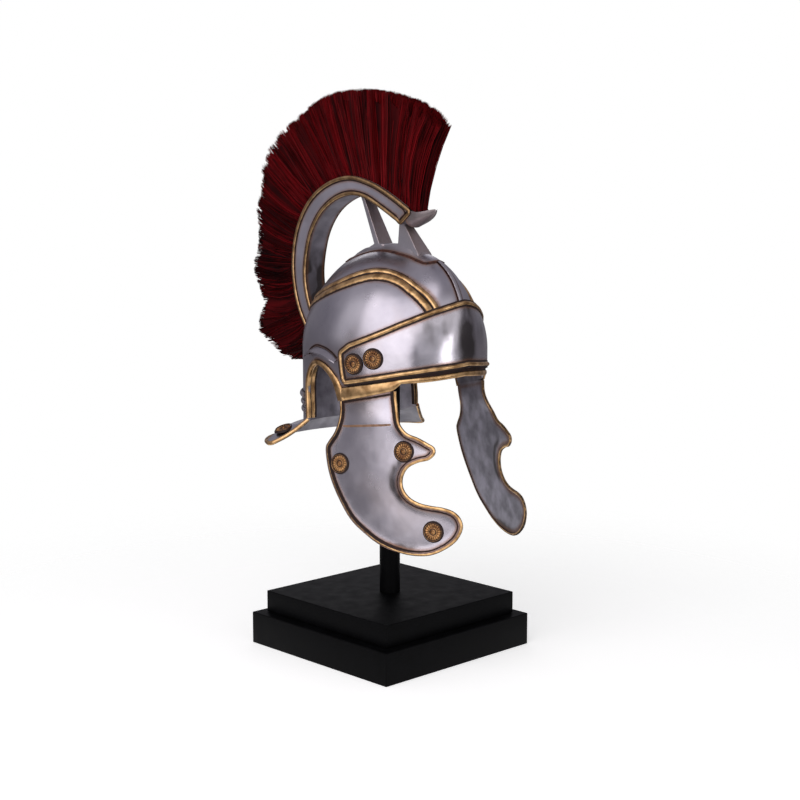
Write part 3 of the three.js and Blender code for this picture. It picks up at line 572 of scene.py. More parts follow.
def wire_tree():
    tree, given = geometry_tree("Wire soldered along a line", {
        "Line": ("Geometry", None), "Width": ("Float", 5.0), "Crown share": ("Float", 0.7),
        "Crown height": ("Float", 2.0), "Bed height": ("Float", 0.2), "Sink": ("Float", 0.6),
        "Belly": ("Float", 0.0), "Finish": ("Material", None)}, "Wire")
    ring = node(tree, "GeometryNodeCurvePrimitiveCircle", {"Resolution": 30, "Radius": 1.0}, mode="RADIUS")
    spot = node(tree, "ShaderNodeSeparateXYZ", {0: node(tree, "GeometryNodeInputPosition").outputs[0]})
    share = calc(tree, "DIVIDE", calc(tree, "ABSOLUTE", spot.outputs["X"]), given["Crown share"])
    marked = node(tree, "GeometryNodeStoreNamedAttribute", {
        "Geometry": ring.outputs[0], "Name": "seam", "Value": share}, data_type="FLOAT", domain="POINT")
    inside = calc(tree, "MINIMUM", share, 1.0)
    arch = calc(tree, "SQRT", calc(tree, "SUBTRACT", 1.0001, calc(tree, "MULTIPLY", inside, inside)))
    upper = calc(tree, "MULTIPLY_ADD", arch, given["Crown height"], given["Bed height"])
    lower = calc(tree, "MULTIPLY_ADD", arch, given["Belly"], given["Sink"])
    is_up = calc(tree, "GREATER_THAN", spot.outputs["Y"], 0.001)
    lift = calc(tree, "SUBTRACT", calc(tree, "MULTIPLY", is_up, upper),
                calc(tree, "MULTIPLY", calc(tree, "SUBTRACT", 1.0, is_up), lower))
    side = calc(tree, "MULTIPLY", spot.outputs["X"], calc(tree, "MULTIPLY", given["Width"], 0.5))
    moved = node(tree, "ShaderNodeCombineXYZ", {0: lift, 1: side}).outputs[0]
    section = node(tree, "GeometryNodeSetPosition", {"Geometry": marked.outputs[0], "Position": moved})
    line = node(tree, "GeometryNodeMeshToCurve", {"Mesh": given["Line"]})
    turned_line = node(tree, "GeometryNodeSetCurveNormal", {
        "Curve": line.outputs[0], "Normal": stored(tree, "lie")}, mode="FREE")
    swept = node(tree, "GeometryNodeCurveToMesh", {
        "Curve": turned_line.outputs[0], "Profile Curve": section.outputs[0], "Fill Caps": True})
    painted_output(tree, realized(tree, swept.outputs[0]), given["Finish"])
    return tree


wire_group = wire_tree()
aged_gilt = gilt("aged_gilt")
dark_wax_and_shade = old_wax()
wax_and_shade_lines = []


def run_nodes(holder, group, values):
    """The plain mesh that a node tree makes of an object, which is then removed."""
    modifier = holder.modifiers.new("make", "NODES")
    modifier.node_group = group
    for item in group.interface.items_tree:
        if item.item_type == "SOCKET" and item.in_out == "INPUT" and item.name in values:
            modifier[item.identifier] = values[item.name]
    bpy.context.view_layer.update()
    graph = bpy.context.evaluated_depsgraph_get()
    mesh = bpy.data.meshes.new_from_object(holder.evaluated_get(graph), preserve_all_data_layers=True,
                                           depsgraph=graph)
    holder.modifiers.remove(modifier)
    bpy.data.objects.remove(holder)
    return mesh


def marked_points(name, places, edges=(), **ways):
    """An object of bare points, given in millimetres, with a vector attribute for each of the ways."""
    mesh = bpy.data.meshes.new(name)
    mesh.from_pydata([tuple(p) for p in places * MM], edges, [])
    for label, values in ways.items():
        data = mesh.attributes.new(label, "FLOAT_VECTOR", "POINT").data
        data.foreach_set("vector", np.asarray(values, np.float32).ravel())
    return put(name, mesh)


def wire(name, slot, nodes, path, lie, width, share, crown, bed=0.35, sink=1.0, belly=0.0, closed=False,
         finish=aged_gilt, painted_shade=0.0, stain=0.6):
    """A wire in millimetres, along a path on a surface with the way out of the surface at each point.
    "stain" is how far the dark wax spreads from its foot."""
    count = len(path)
    edges = [(i, i + 1) for i in range(count - 1)] + ([(count - 1, 0)] if closed else [])
    holder = marked_points("line", path, edges, lie=lie)
    mark(holder.data, "painted_shade", np.broadcast_to(painted_shade, count))
    mesh = run_nodes(holder, wire_group, {
        "Width": width * MM, "Crown share": share, "Crown height": crown * MM, "Bed height": bed * MM,
        "Sink": sink * MM, "Belly": belly * MM, "Finish": finish})
    outward_faces(mesh)
    mesh.name = name
    fit(piece(name, mesh, finish, 60), slot, *nodes)
    if stain:
        wax_and_shade_lines.append((path, width / 2, stain))


def low_line(name, slot, path, lie, width, bed, share=0.3, crown=0.05, finish=dark_wax_and_shade, **more):
    """A low line of old wax along a corner or a groove; the one under the brow plate is painted shade."""
    wire(name, slot, [], path, lie, width, share, crown, bed=bed, finish=finish, **more)


def placed(surface, line):
    """The points of a line laid on skull_at or crown_at, and the ways out of the surface there."""
    place = surface(*np.transpose(line))
    return place, outward(place)


MIRROR = np.array([-1.0, 1.0, 1.0])
SIDES = (("right", np.ones(3)), ("left", MIRROR))

BAND_UPPER = [(-18.5, 97), (-34, 88), (-54, 68), (-65, 40), (-66, 12), (-61, -4), (-50, -29), (-43, -47),
              (-37.8, -65), (-34, -85), (-27.6, -110)]
BAND_LOWER = [(-18.5, 107), (-42, 96), (-63, 73), (-75.5, 42), (-78, 12), (-75, -9), (-61, -40), (-55, -53),
              (-50, -67), (-47, -80), (-40, -105.5)]
band_upper, band_lower = smooth_line(BAND_UPPER, 150), smooth_line(BAND_LOWER, 150)
for number, middle, width, crown in ((1, 0.19, 9.6, 1.7), (2, 0.68, 12.8, 1.5)):
    line = band_upper + (band_lower - band_upper) * middle
    place, out = placed(crown_at, line)
    for side, flip in SIDES:
        wire(f"crown_strip_{number}_{side}", "gilt_brass", [f"crown_band_{number}_{side}"],
             place * flip, out * flip, width, 0.66 + 0.03 * number, crown)

inset = 2.4
rim_degs = np.linspace(-78.5, 78.5, 200)
low_side = [(deg, np.interp(abs(deg), *zip(*BROW_BOTTOM)) + inset) for deg in rim_degs]
high_side = [(deg, np.interp(abs(deg), *zip(*BROW_TOP)) - inset) for deg in rim_degs[::-1]]
turn_up = smooth_line([(78.5, 336), (79.6, 345), (80.6, 360), (80.4, 370), (78.5, high_side[0][1])], 22)[1:-1]
turn_down = turn_up[::-1] * (-1, 1)
brow_line = np.array(low_side + [tuple(p) for p in turn_up] + high_side + [tuple(p) for p in turn_down])
wire("brow_plate_edging", "gilt_brass", ["brow_plate_trim"], brow_at(brow_line[:, 0], brow_line[:, 1]),
     outward(skull_at(brow_line[:, 0], brow_line[:, 1])), 8.4, 0.53, 2.2, closed=True)

BROW_RIM_LOW = [(0, 342.5), (12, 341), (30, 338), (43.5, 336.6), (48.5, 328.2), (62, 321.8), (80, 313.8)]
BROW_RIM_HIGH = [(0, 348), (12, 347), (30, 344), (45, 341), (62, 335.5), (80, 329.5)]
strip_degs = np.linspace(-80.6, 80.6, 331)
strip_low = np.interp(np.abs(strip_degs), *zip(*BROW_RIM_LOW))
strip_high = np.interp(np.abs(strip_degs), *zip(*BROW_RIM_HIGH)) + 0.6
rows = []
for share, by in ((0, -0.6), (0, 1.0), (0.08, 1.9), (0.3, 2.5), (0.55, 2.6), (0.8, 2.3), (0.93, 1.6),
                  (1, -0.6)):
    place = skull_at(strip_degs, strip_low + (strip_high - strip_low) * share)
    rows.append(place + outward(place) * by)
strip_mesh = loft("brow_strip", np.stack(rows, 1))
mark(strip_mesh, "seam", np.tile([1.0, 0.8, 0.5, 0.1, 0.0, 0.5, 0.95, 1.3], len(strip_degs)))
fit(piece("brow_strip", strip_mesh, aged_gilt, 60), "gilt_brass", "brow_rim")
# Painted shade in the gap under the proud brow plate: dark wax spread strongly on the skull above the strip, and
# a low dark line laid along the gap.
wax_and_shade_lines.append((skull_at(strip_degs, strip_high), 0.5, 1.6))
gap_line = np.stack([strip_degs, strip_high + 1.6], -1)[8:-8]
place, out = placed(skull_at, gap_line)
low_line("brow_gap_wax", "gilt_brass", place, out, 3.6, 1.2, stain=0)

EAR_RIM = [(-82.0, 314), (-84.2, 326), (-86.6, 336), (-91, 346), (-97.5, 353.5), (-104, 354.5), (-110.4, 347.5),
           (-115, 336), (-117, 323), (-116.9, 310), (-116.4, 298), (-116.3, 285.5)]
ear_line = smooth_line([(deg * 2, z) for deg, z in EAR_RIM], 120) * (0.5, 1)
place, out = placed(skull_at, ear_line)
to_ear = np.cross(out, unit(np.gradient(place, axis=0)))
to_ear *= np.sign((to_ear * (place.mean(0) - place)).sum(1))[:, None]
stations = np.arange(len(place))
band_width = np.interp(stations, [0, 12, 25, 42, 119], [12.0, 10.5, 8.2, 6.6, 6.0])[:, None]
merged = np.interp(stations, [15, 22], [0.0, 1.0])
band_rows, band_seam = [], []
for share, by, seam in ((0, -0.6, 1.3), (0, 0.25, 1.2), (0.1, 1.5, 0.8), (0.22, 2.2, 0.3), (0.5, 2.6, 0),
                        (0.8, 2.4, 0), (1, 1.6, 0), (1.09, 0.2, 0.1), (1.1, -1.8, 0.3), (0.98, -3.0, 0.9)):
    band_rows.append(place + to_ear * (3.0 + band_width * (share - 1)) + out * by)
    band_seam.append(seam * merged if share < 0.3 else np.full(len(place), float(seam)))
# Painted shade: the turned edge inside each ear arch is darkened to black near the top of the arch, where deep
# shadow falls, and to dark brown further down.
lining_shade = np.interp(stations, [0, 46, 52, 62, 70, 119], [1.0, 1.0, 1.0, 0.9, 0.45, 0.55])
LINED = 46
lining = (place - out * 6.0 + to_ear * 0.4)[LINED:]
for side, flip in SIDES:
    mesh = loft(f"ear_edging_{side}", np.stack(band_rows, 1) * flip)
    mark(mesh, "seam", np.stack(band_seam, 1).ravel())
    fit(piece(f"ear_edging_{side}", mesh, aged_gilt, 60), "gilt_brass", f"ear_rim_{side}")
    wire(f"ear_turned_edge_{side}", "gilt_brass", [], lining * flip, to_ear[LINED:] * flip, 9.0, 1.05, 1.2,
         stain=0, painted_shade=lining_shade[LINED:])
wax_and_shade_lines.append(((place + to_ear * (3.0 - band_width))[20:], 0.3, 0.7))

# ------------------------------------------------------------------ neck guard edging
# A gilt wire rolled over the guard's edge, carried on from the ear edging round both front corners.
path = [guard_at(-1, s) for s in np.linspace(0.0, 0.93, 16)]
path += [guard_at(t, 1.0) for t in np.linspace(-0.985, 0.985, 200)]
path += [guard_at(1, s) for s in np.linspace(0.93, 0.0, 16)]
GUARD_POINTS = 260
path = smooth_line(np.array(path)[::3], GUARD_POINTS) - (0, 0, WALL / 2)
step = unit(np.gradient(path, axis=0))
away = (path - (0, 60, 0)) * (1, 1, 0)
away = unit(away - step * (away * step).sum(1)[:, None])
stations = np.arange(GUARD_POINTS)
path[:, 2] += 1.7 * np.clip((np.minimum(stations, stations[::-1]) - 34) / 30, 0, 1)
wire("neck_guard_edging", "gilt_brass", ["neck_rim"], path + away * 0.9, away, 5.0, 1.06, 2.4, bed=0.0,
     sink=0.0, belly=2.0, stain=0)

# ------------------------------------------------------------------ ribs, ridge and ear guards
# Three ribs embossed across the nape, a raised keel from the crest down to the brow plate, and a thin
# flange of steel over each ear.
rib_steel = steel("rib_steel", polish=0.3)
bead_steel, coat, shader = new_finish("waxed_steel_rib")
depth = calc(coat, "ADD", attribute(coat, "seam"), calc(coat, "MULTIPLY_ADD", grain(coat, 260, 3), 0.3, -0.15))
feed(coat, shader, {
    "Base Color": ramp(coat, depth, (0.78, (0.44, 0.41, 0.44)), (1.0, (0.035, 0.011, 0.008))), "Metallic": 0.95,
    "Roughness": 0.34, "Normal": relief(coat, grain(coat, 300, 3), 0.0003, 0.3)})

rib_degs = np.linspace(121, 239, 150)
for number, (z, width, crown) in enumerate(((311, 9.5, 3.6), (301.5, 7.2, 2.5), (292.5, 7.2, 2.0)), 1):
    place, out = placed(skull_at, [(deg - 360 if deg > 180 else deg, z) for deg in rib_degs])
    wire(f"nape_bead_{number}", "polished_steel", [f"nape_rib_{number}"], place, out, width, 0.8, crown,
         finish=bead_steel, stain=0)

place, out = placed(crown_at, [(0, y) for y in np.linspace(-83, -117, 36)])
wire("keel_bead", "polished_steel", ["medial_ridge"], place, out, 8.4, 0.72, 1.7, finish=bead_steel, stain=0.5)

EAR_GUARD = [(-84.5, 361, 5), (-88.5, 367, 8), (-93, 371, 9), (-98, 373, 10), (-103, 373.5, 10),
             (-108.5, 370, 10), (-113.5, 364, 7)]
flange_line = smooth_line([(deg * 2, z, reach * 4) for deg, z, reach in EAR_GUARD], 60) * (0.5, 1, 0.25)
root = skull_at(flange_line[:, 0], flange_line[:, 1])
out = level(outward(root))
reach = flange_line[:, 2:3]
drop = np.array([0, 0, 1.0])
flange_top = np.stack([root - out * 0.8 + out * (reach + 0.8) * s - drop * reach * 0.55 * s ** 1.3
                       for s in np.linspace(0, 1, 10)])
wax_and_shade_lines.append((root, 0.5, 0.8))
for side, flip in SIDES:
    mesh = slab(f"ear_flange_{side}", flange_top * flip, (flange_top - drop * 1.6) * flip)
    fit(piece(f"ear_flange_{side}", mesh, rib_steel, 50), "polished_steel", f"ear_guard_{side}")
for side, flip in SIDES:
    for by, label in ((1.6, "upper"), (-1.6, "lower")):
        low_line(f"ear_flange_wax_{label}_{side}", "polished_steel", root * flip + drop * by, out * flip, 1.5,
                 0.7, stain=0)

# ------------------------------------------------------------------ cheek guards
# Each guard is beaten from one sheet to follow the cheek, with a lobe beside the mouth and one under the
# chin. It hangs from the skull's edge, and a line is scribed across it where a hinge would sit.
CHEEK_OUTLINE = [(-20, 313), (-21.5, 294), (-18, 278), (-10.5, 266), (-7.7, 260), (-10.9, 242), (-18, 223),
                 (-32, 199), (-47.5, 178.6), (-65, 164.8), (-83, 154), (-102, 147.5), (-122, 145), (-142, 147.6),
                 (-158, 156.4), (-169, 167.5), (-174, 182), (-171, 192), (-164, 198.7), (-152.6, 202.3),
                 (-139.8, 203.5), (-126.7, 205.8), (-115.3, 211.7), (-108, 221.8), (-107.2, 233.6), (-112, 244),
                 (-122.5, 250.7), (-134.4, 254.8), (-140.5, 262.3), (-139.3, 268.5), (-132, 273), (-120.4, 278.5),
                 (-107.5, 283), (-98.6, 292), (-91.5, 305.5), (-88, 318), (-87.5, 328)]


def cheek_x(y, z):
    back_share, up = (y + 90) / 80, (z - 250) / 80
    bulge = 86.5 + 29.9 * back_share - 8.8 * up - 6.5 * back_share ** 2 - 0.4 * back_share * up - 2.5 * up ** 2
    wall = HALF_WIDTH * np.sqrt(np.maximum(0.2, 1 - ((y - MID_Y) / HALF_LENGTH) ** 2))
    return bulge + (wall - bulge) * eased((z - 288) / 34)


def on_cheek(yz, by=0.0):
    """Points on the right cheek guard at these (y, z), moved towards the face by this much."""
    return np.column_stack([by - cheek_x(yz[:, 0], yz[:, 1]), yz])


RIM_POINTS = 240
cheek_line = smooth_line(CHEEK_OUTLINE, RIM_POINTS)
along_rim = np.arange(RIM_POINTS) / RIM_POINTS


def cheek_inward(by):
    step = unit(np.gradient(cheek_line, axis=0))
    return cheek_line + np.stack([step[:, 1], -step[:, 0]], -1) * by


def near_points(flat):
    near = KDTree(len(flat))
    for i, (y, z) in enumerate(flat):
        near.insert((y, z, 0), i)
    near.balance()
    return near


def flat_sheet(outline, spacing, clear_of):
    """Triangles over a closed outline in (y, z), with evenly spread points inside it."""
    near = near_points(outline)
    low, high = np.min(outline, axis=0), np.max(outline, axis=0)
    flat = [Vector(p) for p in outline]
    for row, z in enumerate(np.arange(low[1], high[1], spacing)):
        for y in np.arange(low[0] + spacing / 2 * (row % 2), high[0], spacing):
            crossings = sum((z0 > z) != (z1 > z) and y < y0 + (z - z0) / (z1 - z0) * (y1 - y0)
                            for (y0, z0), (y1, z1) in zip(outline, np.roll(outline, -1, axis=0)))
            if crossings % 2 and near.find((y, z, 0))[2] > clear_of:
                flat.append(Vector((y, z)))
    flat, _, triangles, *_ = delaunay_2d_cdt(flat, [], [list(range(len(outline)))], 1, 1e-5)
    return np.array([tuple(p) for p in flat]), [tuple(t) for t in triangles]


def closed_sheet(face, rear, triangles, count):
    """A sheet between two copies of the same triangles, closed round their first count points."""
    total = len(face)
    faces = triangles + [tuple(v + total for v in t[::-1]) for t in triangles]
    faces += [((i + 1) % count, i, i + total, (i + 1) % count + total) for i in range(count)]
    return np.concatenate([face, rear]), faces


def cheek_plate():
    rim = cheek_inward(np.interp(along_rim, [0, 0.37, 0.46, 1], [0.8, 0.8, 2.2, 2.2])[:, None])
    outline = np.concatenate([rim, smooth_line([(-85.6, 328.4), (-61, 324.4), (-22.6, 316.4)], 26)])
    yz, triangles = flat_sheet(outline, 1.9, 1.2)
    near = near_points(rim)
    from_rim = np.array([near.find((y, z, 0))[2] for y, z in yz])
    flare = 1.1 * hump(from_rim, 6.0) * np.clip((300 - yz[:, 1]) / 20, 0, 1)
    face = on_cheek(yz, -flare)
    return closed_sheet(face, face + (WALL, 0, 0), triangles, len(outline))


cheek_points, cheek_faces = cheek_plate()
cheek_steel = steel("cheek_steel", polish=0.20, mottle=0.8, back=(0.56, 0.54, 0.62))
rim_finish = gilt("rim_gilt", light=(0.84, 0.53, 0.25), dark=(0.42, 0.235, 0.095))
tan_wax = old_wax("tan_wax", light=(0.36, 0.20, 0.125), dark=(0.18, 0.10, 0.06))
EDGING_INSET, WAX_INSET, SLOPE_STEP = 1.9, 4.6, 0.5
tuck = np.interp(along_rim, [0, 0.37, 0.46, 1], [0.8, 0.8, 0.0, 0.0])[:, None]
# Painted shade: the cheek edging is darkened along its rear and lower edge and left bright along the front.
rim_shade = np.interp(along_rim, [0, 0.06, 0.3, 0.42, 0.5, 0.56, 1], [0.3, 0.72, 0.78, 0.55, 0.35, 0.05, 0.05])
rim_place = on_cheek(cheek_inward(EDGING_INSET + tuck))
rim_x, rim_y, rim_z = -rim_place[:, 0], rim_place[:, 1], rim_place[:, 2]
slope_y = (cheek_x(rim_y + SLOPE_STEP, rim_z) - rim_x) / SLOPE_STEP
slope_z = (cheek_x(rim_y, rim_z + SLOPE_STEP) - rim_x) / SLOPE_STEP
rim_out = unit(np.stack([-np.ones(len(rim_x)), -slope_y, -slope_z], -1))
rim_place = rim_place - rim_out * 0.7
seat_place = on_cheek(cheek_inward(WAX_INSET + tuck))
SCRIBE_POINTS = 50
scribe_y, top_y = np.linspace(-88, -25, SCRIBE_POINTS), np.linspace(-84, -25, SCRIBE_POINTS)
scribe_place = on_cheek(np.stack([scribe_y, 283.6 - (scribe_y + 22) * 0.1], -1))
top_place = on_cheek(np.stack([top_y, np.interp(top_y, [-84, -61, -25], [325.0, 319.6, 312.0])], -1))
wax_and_shade_lines.append((rim_place - rim_out * 0.5, 1.4, 0.8))
cheek_pieces = []
for side, flip in SIDES:
    mesh = bare_mesh(f"cheek_plate_{side}", cheek_points * flip * MM, cheek_faces)
    mark(mesh, "inner", np.repeat([0.0, 1.0], len(cheek_points) // 2))
    outward_faces(mesh)
    made = piece(f"cheek_plate_{side}", mesh, cheek_steel, 50)
    fit(made, "polished_steel", f"cheek_guard_{side}")
    cheek_pieces.append(made)
    wire(f"cheek_edging_{side}", "gilt_brass", [f"cheek_rim_{side}"], rim_place * flip, rim_out * flip,
         3.8, 1.08, 2.0, bed=0.0, sink=0.0, belly=1.4, stain=0, finish=rim_finish, painted_shade=rim_shade)
    low_line(f"cheek_wax_line_{side}", "gilt_brass", seat_place * flip, rim_out * flip, 3.4, 0.8, share=0.4)
    across_face = np.tile([-1.0, -0.3, 0], (SCRIBE_POINTS, 1)) * flip
    low_line(f"cheek_scribed_line_{side}", "gilt_brass", scribe_place * flip, across_face, 3.6, 0.1, crown=0.02,
             finish=tan_wax, stain=0)
    low_line(f"cheek_top_wax_{side}", "gilt_brass", top_place * flip, across_face, 2.4, 0.7)

# ------------------------------------------------------------------ rosettes
# Stamped gilt brass discs, 25 mm across: a rolled edge, a ring of petals and a small boss. Each is pinned
# through its middle, two on each side of the brow plate, three on each cheek and three on the neck guard.
ROSETTE_RADIUS, DISC_HEIGHT, BOSS_HEIGHT, PETALS = 11.5, 1.2, 2.6, 18


def rosette_mesh():
    rings, sides = 34, 108
    radii = np.linspace(0.02, 1, rings) ** 0.9 * ROSETTE_RADIUS
    r, turn = np.meshgrid(radii, np.linspace(0, 2 * math.pi, sides, endpoint=False), indexing="ij")
    edge, ring, boss = 1.4 * hump(r - 10.2, 0.75), 0.75 * hump(r - 4.6, 0.55), BOSS_HEIGHT * hump(r, 2.2)
    petal = np.clip((r - 5.0) / 1.2, 0, 1) * np.clip((9.5 - r) / 1.2, 0, 1)
    petal = petal * (0.25 + 0.95 * np.abs(np.cos(turn * PETALS / 2)) ** 0.7)
    z = DISC_HEIGHT + edge + ring + boss + petal
    # The rolled edge counts lower than it stands, and the skirt, flared 0.9 mm past the rim at the foot, counts
    # deepest, so both come out dark: a painted shadow ring round each disc where it sits. The hollows between the
    # petals take dark wax.
    relief_depth = np.clip((z - DISC_HEIGHT - 0.65 * edge) / 1.1, 0, 1)
    top = np.stack([r * np.cos(turn), r * np.sin(turn), z], -1).reshape(-1, 3)
    foot_radius = radii[-1] + 0.9
    skirt = np.stack([foot_radius * np.cos(turn[-1]), foot_radius * np.sin(turn[-1]), 0 * turn[-1]], -1)
    points = np.concatenate([top, skirt, [[0, 0, DISC_HEIGHT + BOSS_HEIGHT], [0, 0, 0]]])
    faces = grid_faces(rings + 1, sides, True)
    centre, foot = len(points) - 2, len(points) - 1
    faces += [(j, (j + 1) % sides, centre)[::-1] for j in range(sides)]
    faces += [(rings * sides + j, rings * sides + (j + 1) % sides, foot) for j in range(sides)]
    mesh = bare_mesh("rosette", points * MM, faces)
    seam = 1.5 - 1.5 * np.concatenate([relief_depth.ravel(), np.zeros(sides), [1, 0]])
    mark(mesh, "seam", seam)
    outward_faces(mesh)
    return mesh


def set_on(tree, holders, pattern, way, seed, **more):
    """Copies of an object on the points of another, stood along a way and turned about it at random."""
    facing = node(tree, "FunctionNodeAlignRotationToVector", {"Vector": way}, axis="Z")
    chance = node(tree, "FunctionNodeRandomValue", {2: 0.0, 3: 6.28, "Seed": seed}, data_type="FLOAT")
    spin = node(tree, "FunctionNodeAxisAngleToRotation", {"Axis": (0, 0, 1), "Angle": chance.outputs[1]})
    posed = node(tree, "FunctionNodeRotateRotation", {
        "Rotation": facing.outputs[0], "Rotate By": spin.outputs[0]}, rotation_space="LOCAL")
    copy = node(tree, "GeometryNodeObjectInfo", {"Object": pattern}).outputs["Geometry"]
    spots = node(tree, "GeometryNodeMeshToPoints", {"Mesh": holders})
    return realized(tree, node(tree, "GeometryNodeInstanceOnPoints", {
        "Points": spots.outputs[0], "Instance": copy, "Rotation": posed.outputs[0], **more}).outputs[0])


def pins_tree():
    tree, given = geometry_tree("Rosettes pinned on", {
        "Places": ("Geometry", None), "Rosette": ("Object", None), "Seed": ("Int", 3),
        "Finish": ("Material", None)}, "Rosettes")
    discs = set_on(tree, given["Places"], given["Rosette"], stored(tree, "lie"), given["Seed"])
    painted_output(tree, discs, given["Finish"])
    return tree


def guard_facing(t, s):
    along = guard_at(t + 0.02, s) - guard_at(t - 0.02, s)
    way = unit(np.cross(along, guard_at(t, s + 0.15) - guard_at(t, s - 0.15)))
    return way if way[2] > 0 else -way


pins = []
for side, flip in SIDES:
    for number, (deg, z) in enumerate(((-72, 357.5), (-60, 364.5)), 1):
        pins.append((f"brow_rosette_{number}_{side}", brow_at(deg, z) * flip, outward(skull_at(deg, z)) * flip))
    for number, (y, z) in enumerate(((-29, 242), (-106, 262), (-143.5, 174.5)), 1):
        slope_y, slope_z = cheek_x(y + 2, z) - cheek_x(y - 2, z), cheek_x(y, z + 2) - cheek_x(y, z - 2)
        way = unit(np.array([-1.0, -slope_y / 4, -slope_z / 4]))
        pins.append((f"cheek_rosette_{number}_{side}", np.array([-cheek_x(y, z), y, z]) * flip, way * flip))
    way = unit(guard_facing(-0.86, 0.55) * 0.6 + (0, 0, 0.4))
    pins.append((f"guard_rosette_1_{side}", (guard_at(-0.86, 0.55) - (0, 0, 1.0)) * flip, way * flip))
pins.append(("guard_rosette_2", guard_at(0.0, 0.55), guard_facing(0.0, 0.55)))
stood_for, places, ways = zip(*pins)
spot_holder = marked_points("rosette_places", np.array(places) + np.array(ways) * 0.3, lie=ways)
pattern = put("rosette_pattern", rosette_mesh())
bronze = gilt("stamped_gilt", light=(0.52, 0.285, 0.12), dark=(0.22, 0.10, 0.045))
mesh = run_nodes(spot_holder, pins_tree(), {"Rosette": pattern, "Seed": 3, "Finish": bronze})
mesh.name = "rosettes"
bpy.data.objects.remove(pattern)
fit(piece("rosettes", mesh, bronze, 50), "gilt_brass", *stood_for)

# ------------------------------------------------------------------ crest box and its support
# The crest box is a curved channel of sheet steel that holds the hair. A forked plate carries its front
# end on the crown, its rear end stands on the nape, and an upturned lip closes the front.
CREST_OUTER = [(-46, 534), (-16, 550), (18, 564), (56, 571), (94, 563.5), (125, 546), (147, 520), (159, 490),
               (162.5, 458), (159, 430), (150, 404), (137, 383), (122, 364)]
CREST_INNER = [(-34, 514), (-2, 531), (28, 544.5), (56, 547.5), (84, 539.5), (107, 524), (124, 501), (133, 474),
               (136, 448), (132, 424), (124, 404), (113, 385), (98, 368)]
CREST_HALF, SLOT_HALF, SLOT_DEPTH = 15.0, 12.0, 8.0
crest_outer, crest_inner = smooth_line(CREST_OUTER, 130), smooth_line(CREST_INNER, 130)
down = crest_inner - crest_outer
depth = np.linalg.norm(down, axis=1, keepdims=True)
down /= depth


def crest_point(x, by):
    """Points along the crest at x, and this far in from its outer edge."""
    yz = crest_outer + down * by
    return np.stack([np.full(len(yz), float(x)), yz[:, 0], yz[:, 1]], -1)


EASE = 0.8
section = []
for sx, sy, x, by in ((-1, 1, -CREST_HALF, 0), (-1, -1, -CREST_HALF, depth), (1, -1, CREST_HALF, depth),
                      (1, 1, CREST_HALF, 0)):
    pair = [(x, by + sy * EASE), (x - sx * EASE * 0.3, by + sy * EASE * 0.3), (x - sx * EASE, by)]
    section.append(pair[::-1] if sx * sy < 0 else pair)
right_back, right_front, left_front, left_back = section
across = np.linspace(0, 1, 16)[1:-1]
corners = [*right_back]
corners += [(-CREST_HALF, EASE + (depth - 2 * EASE) * t) for t in across] + right_front
corners += [(-CREST_HALF + 2 * CREST_HALF * t, depth) for t in across] + left_front
corners += [(CREST_HALF, EASE + (depth - 2 * EASE) * (1 - t)) for t in across] + left_back
corners += [(SLOT_HALF, 0), (SLOT_HALF, SLOT_DEPTH), (-SLOT_HALF, SLOT_DEPTH), (-SLOT_HALF, 0)]
channel = np.stack([crest_point(x, by) for x, by in corners], 1)
crest_mesh = loft("crest_channel", channel)
underside = np.array([0.7 if 18 < i < 36 else 0.0 for i in range(len(corners))])
# Painted shade: the channel's underside is darkened towards its low rear end, where it arches close over the
# nape.
arch_shade = np.clip((486 - channel[:, :, 2]) / 45, 0, 1) * (underside > 0) * 2.6
mark(crest_mesh, "inner", np.tile(underside, len(channel)))
mark(crest_mesh, "mottle", arch_shade.ravel())
crest_steel = steel("crest_steel", light=(0.54, 0.51, 0.58), dark=(0.40, 0.38, 0.43), polish=0.45, mottle=0.9)
crest = piece("crest_channel", crest_mesh, crest_steel, 40)
fit(crest, "polished_steel", "crest_box")


def crest_loop(inset, front, rear, nose, foot):
    outer_side = crest_point(-CREST_HALF, inset)[front[0]:-rear:2, 1:]
    inner_side = crest_point(-CREST_HALF, depth - inset)[front[1]:-rear:2, 1:][::-1]
    loop = smooth_line(np.concatenate([outer_side, foot, inner_side, nose]), 330, closed=True)
    return np.column_stack([np.full(len(loop), -CREST_HALF), loop])


FRAME_NOSE = [(-32.2, 516.6), (-33.8, 516.0), (-35.6, 517.0), (-41, 521.2), (-46.8, 525.7), (-48.4, 527.0),
              (-48.7, 529.0), (-47.2, 530.6)]
PANEL_NOSE = [(-30.4, 519.2), (-32.0, 518.8), (-36.5, 522.2), (-40.6, 525.2), (-42.0, 526.9), (-41.2, 528.8)]
frame_path = crest_loop(2.3, (0, 3), 4, FRAME_NOSE, [(119, 375)])
panel_path = crest_loop(5.2, (2, 4), 7, PANEL_NOSE, [(119, 382)])
side_way = np.tile([-1.0, 0, 0], (len(frame_path), 1))
dull_gilt = gilt("crest_gilt", light=(0.60, 0.38, 0.19), dark=(0.32, 0.19, 0.09))
for side, flip in SIDES:
    wire(f"crest_edging_{side}", "gilt_brass", [f"crest_trim_{side}"], frame_path * flip, side_way * flip, 4.8,
         0.96, 1.7, closed=True, finish=dull_gilt, sink=0.4, bed=0.1)
    low_line(f"crest_wax_line_{side}", "gilt_brass", panel_path * flip, side_way * flip, 1.9, 0.5, closed=True)

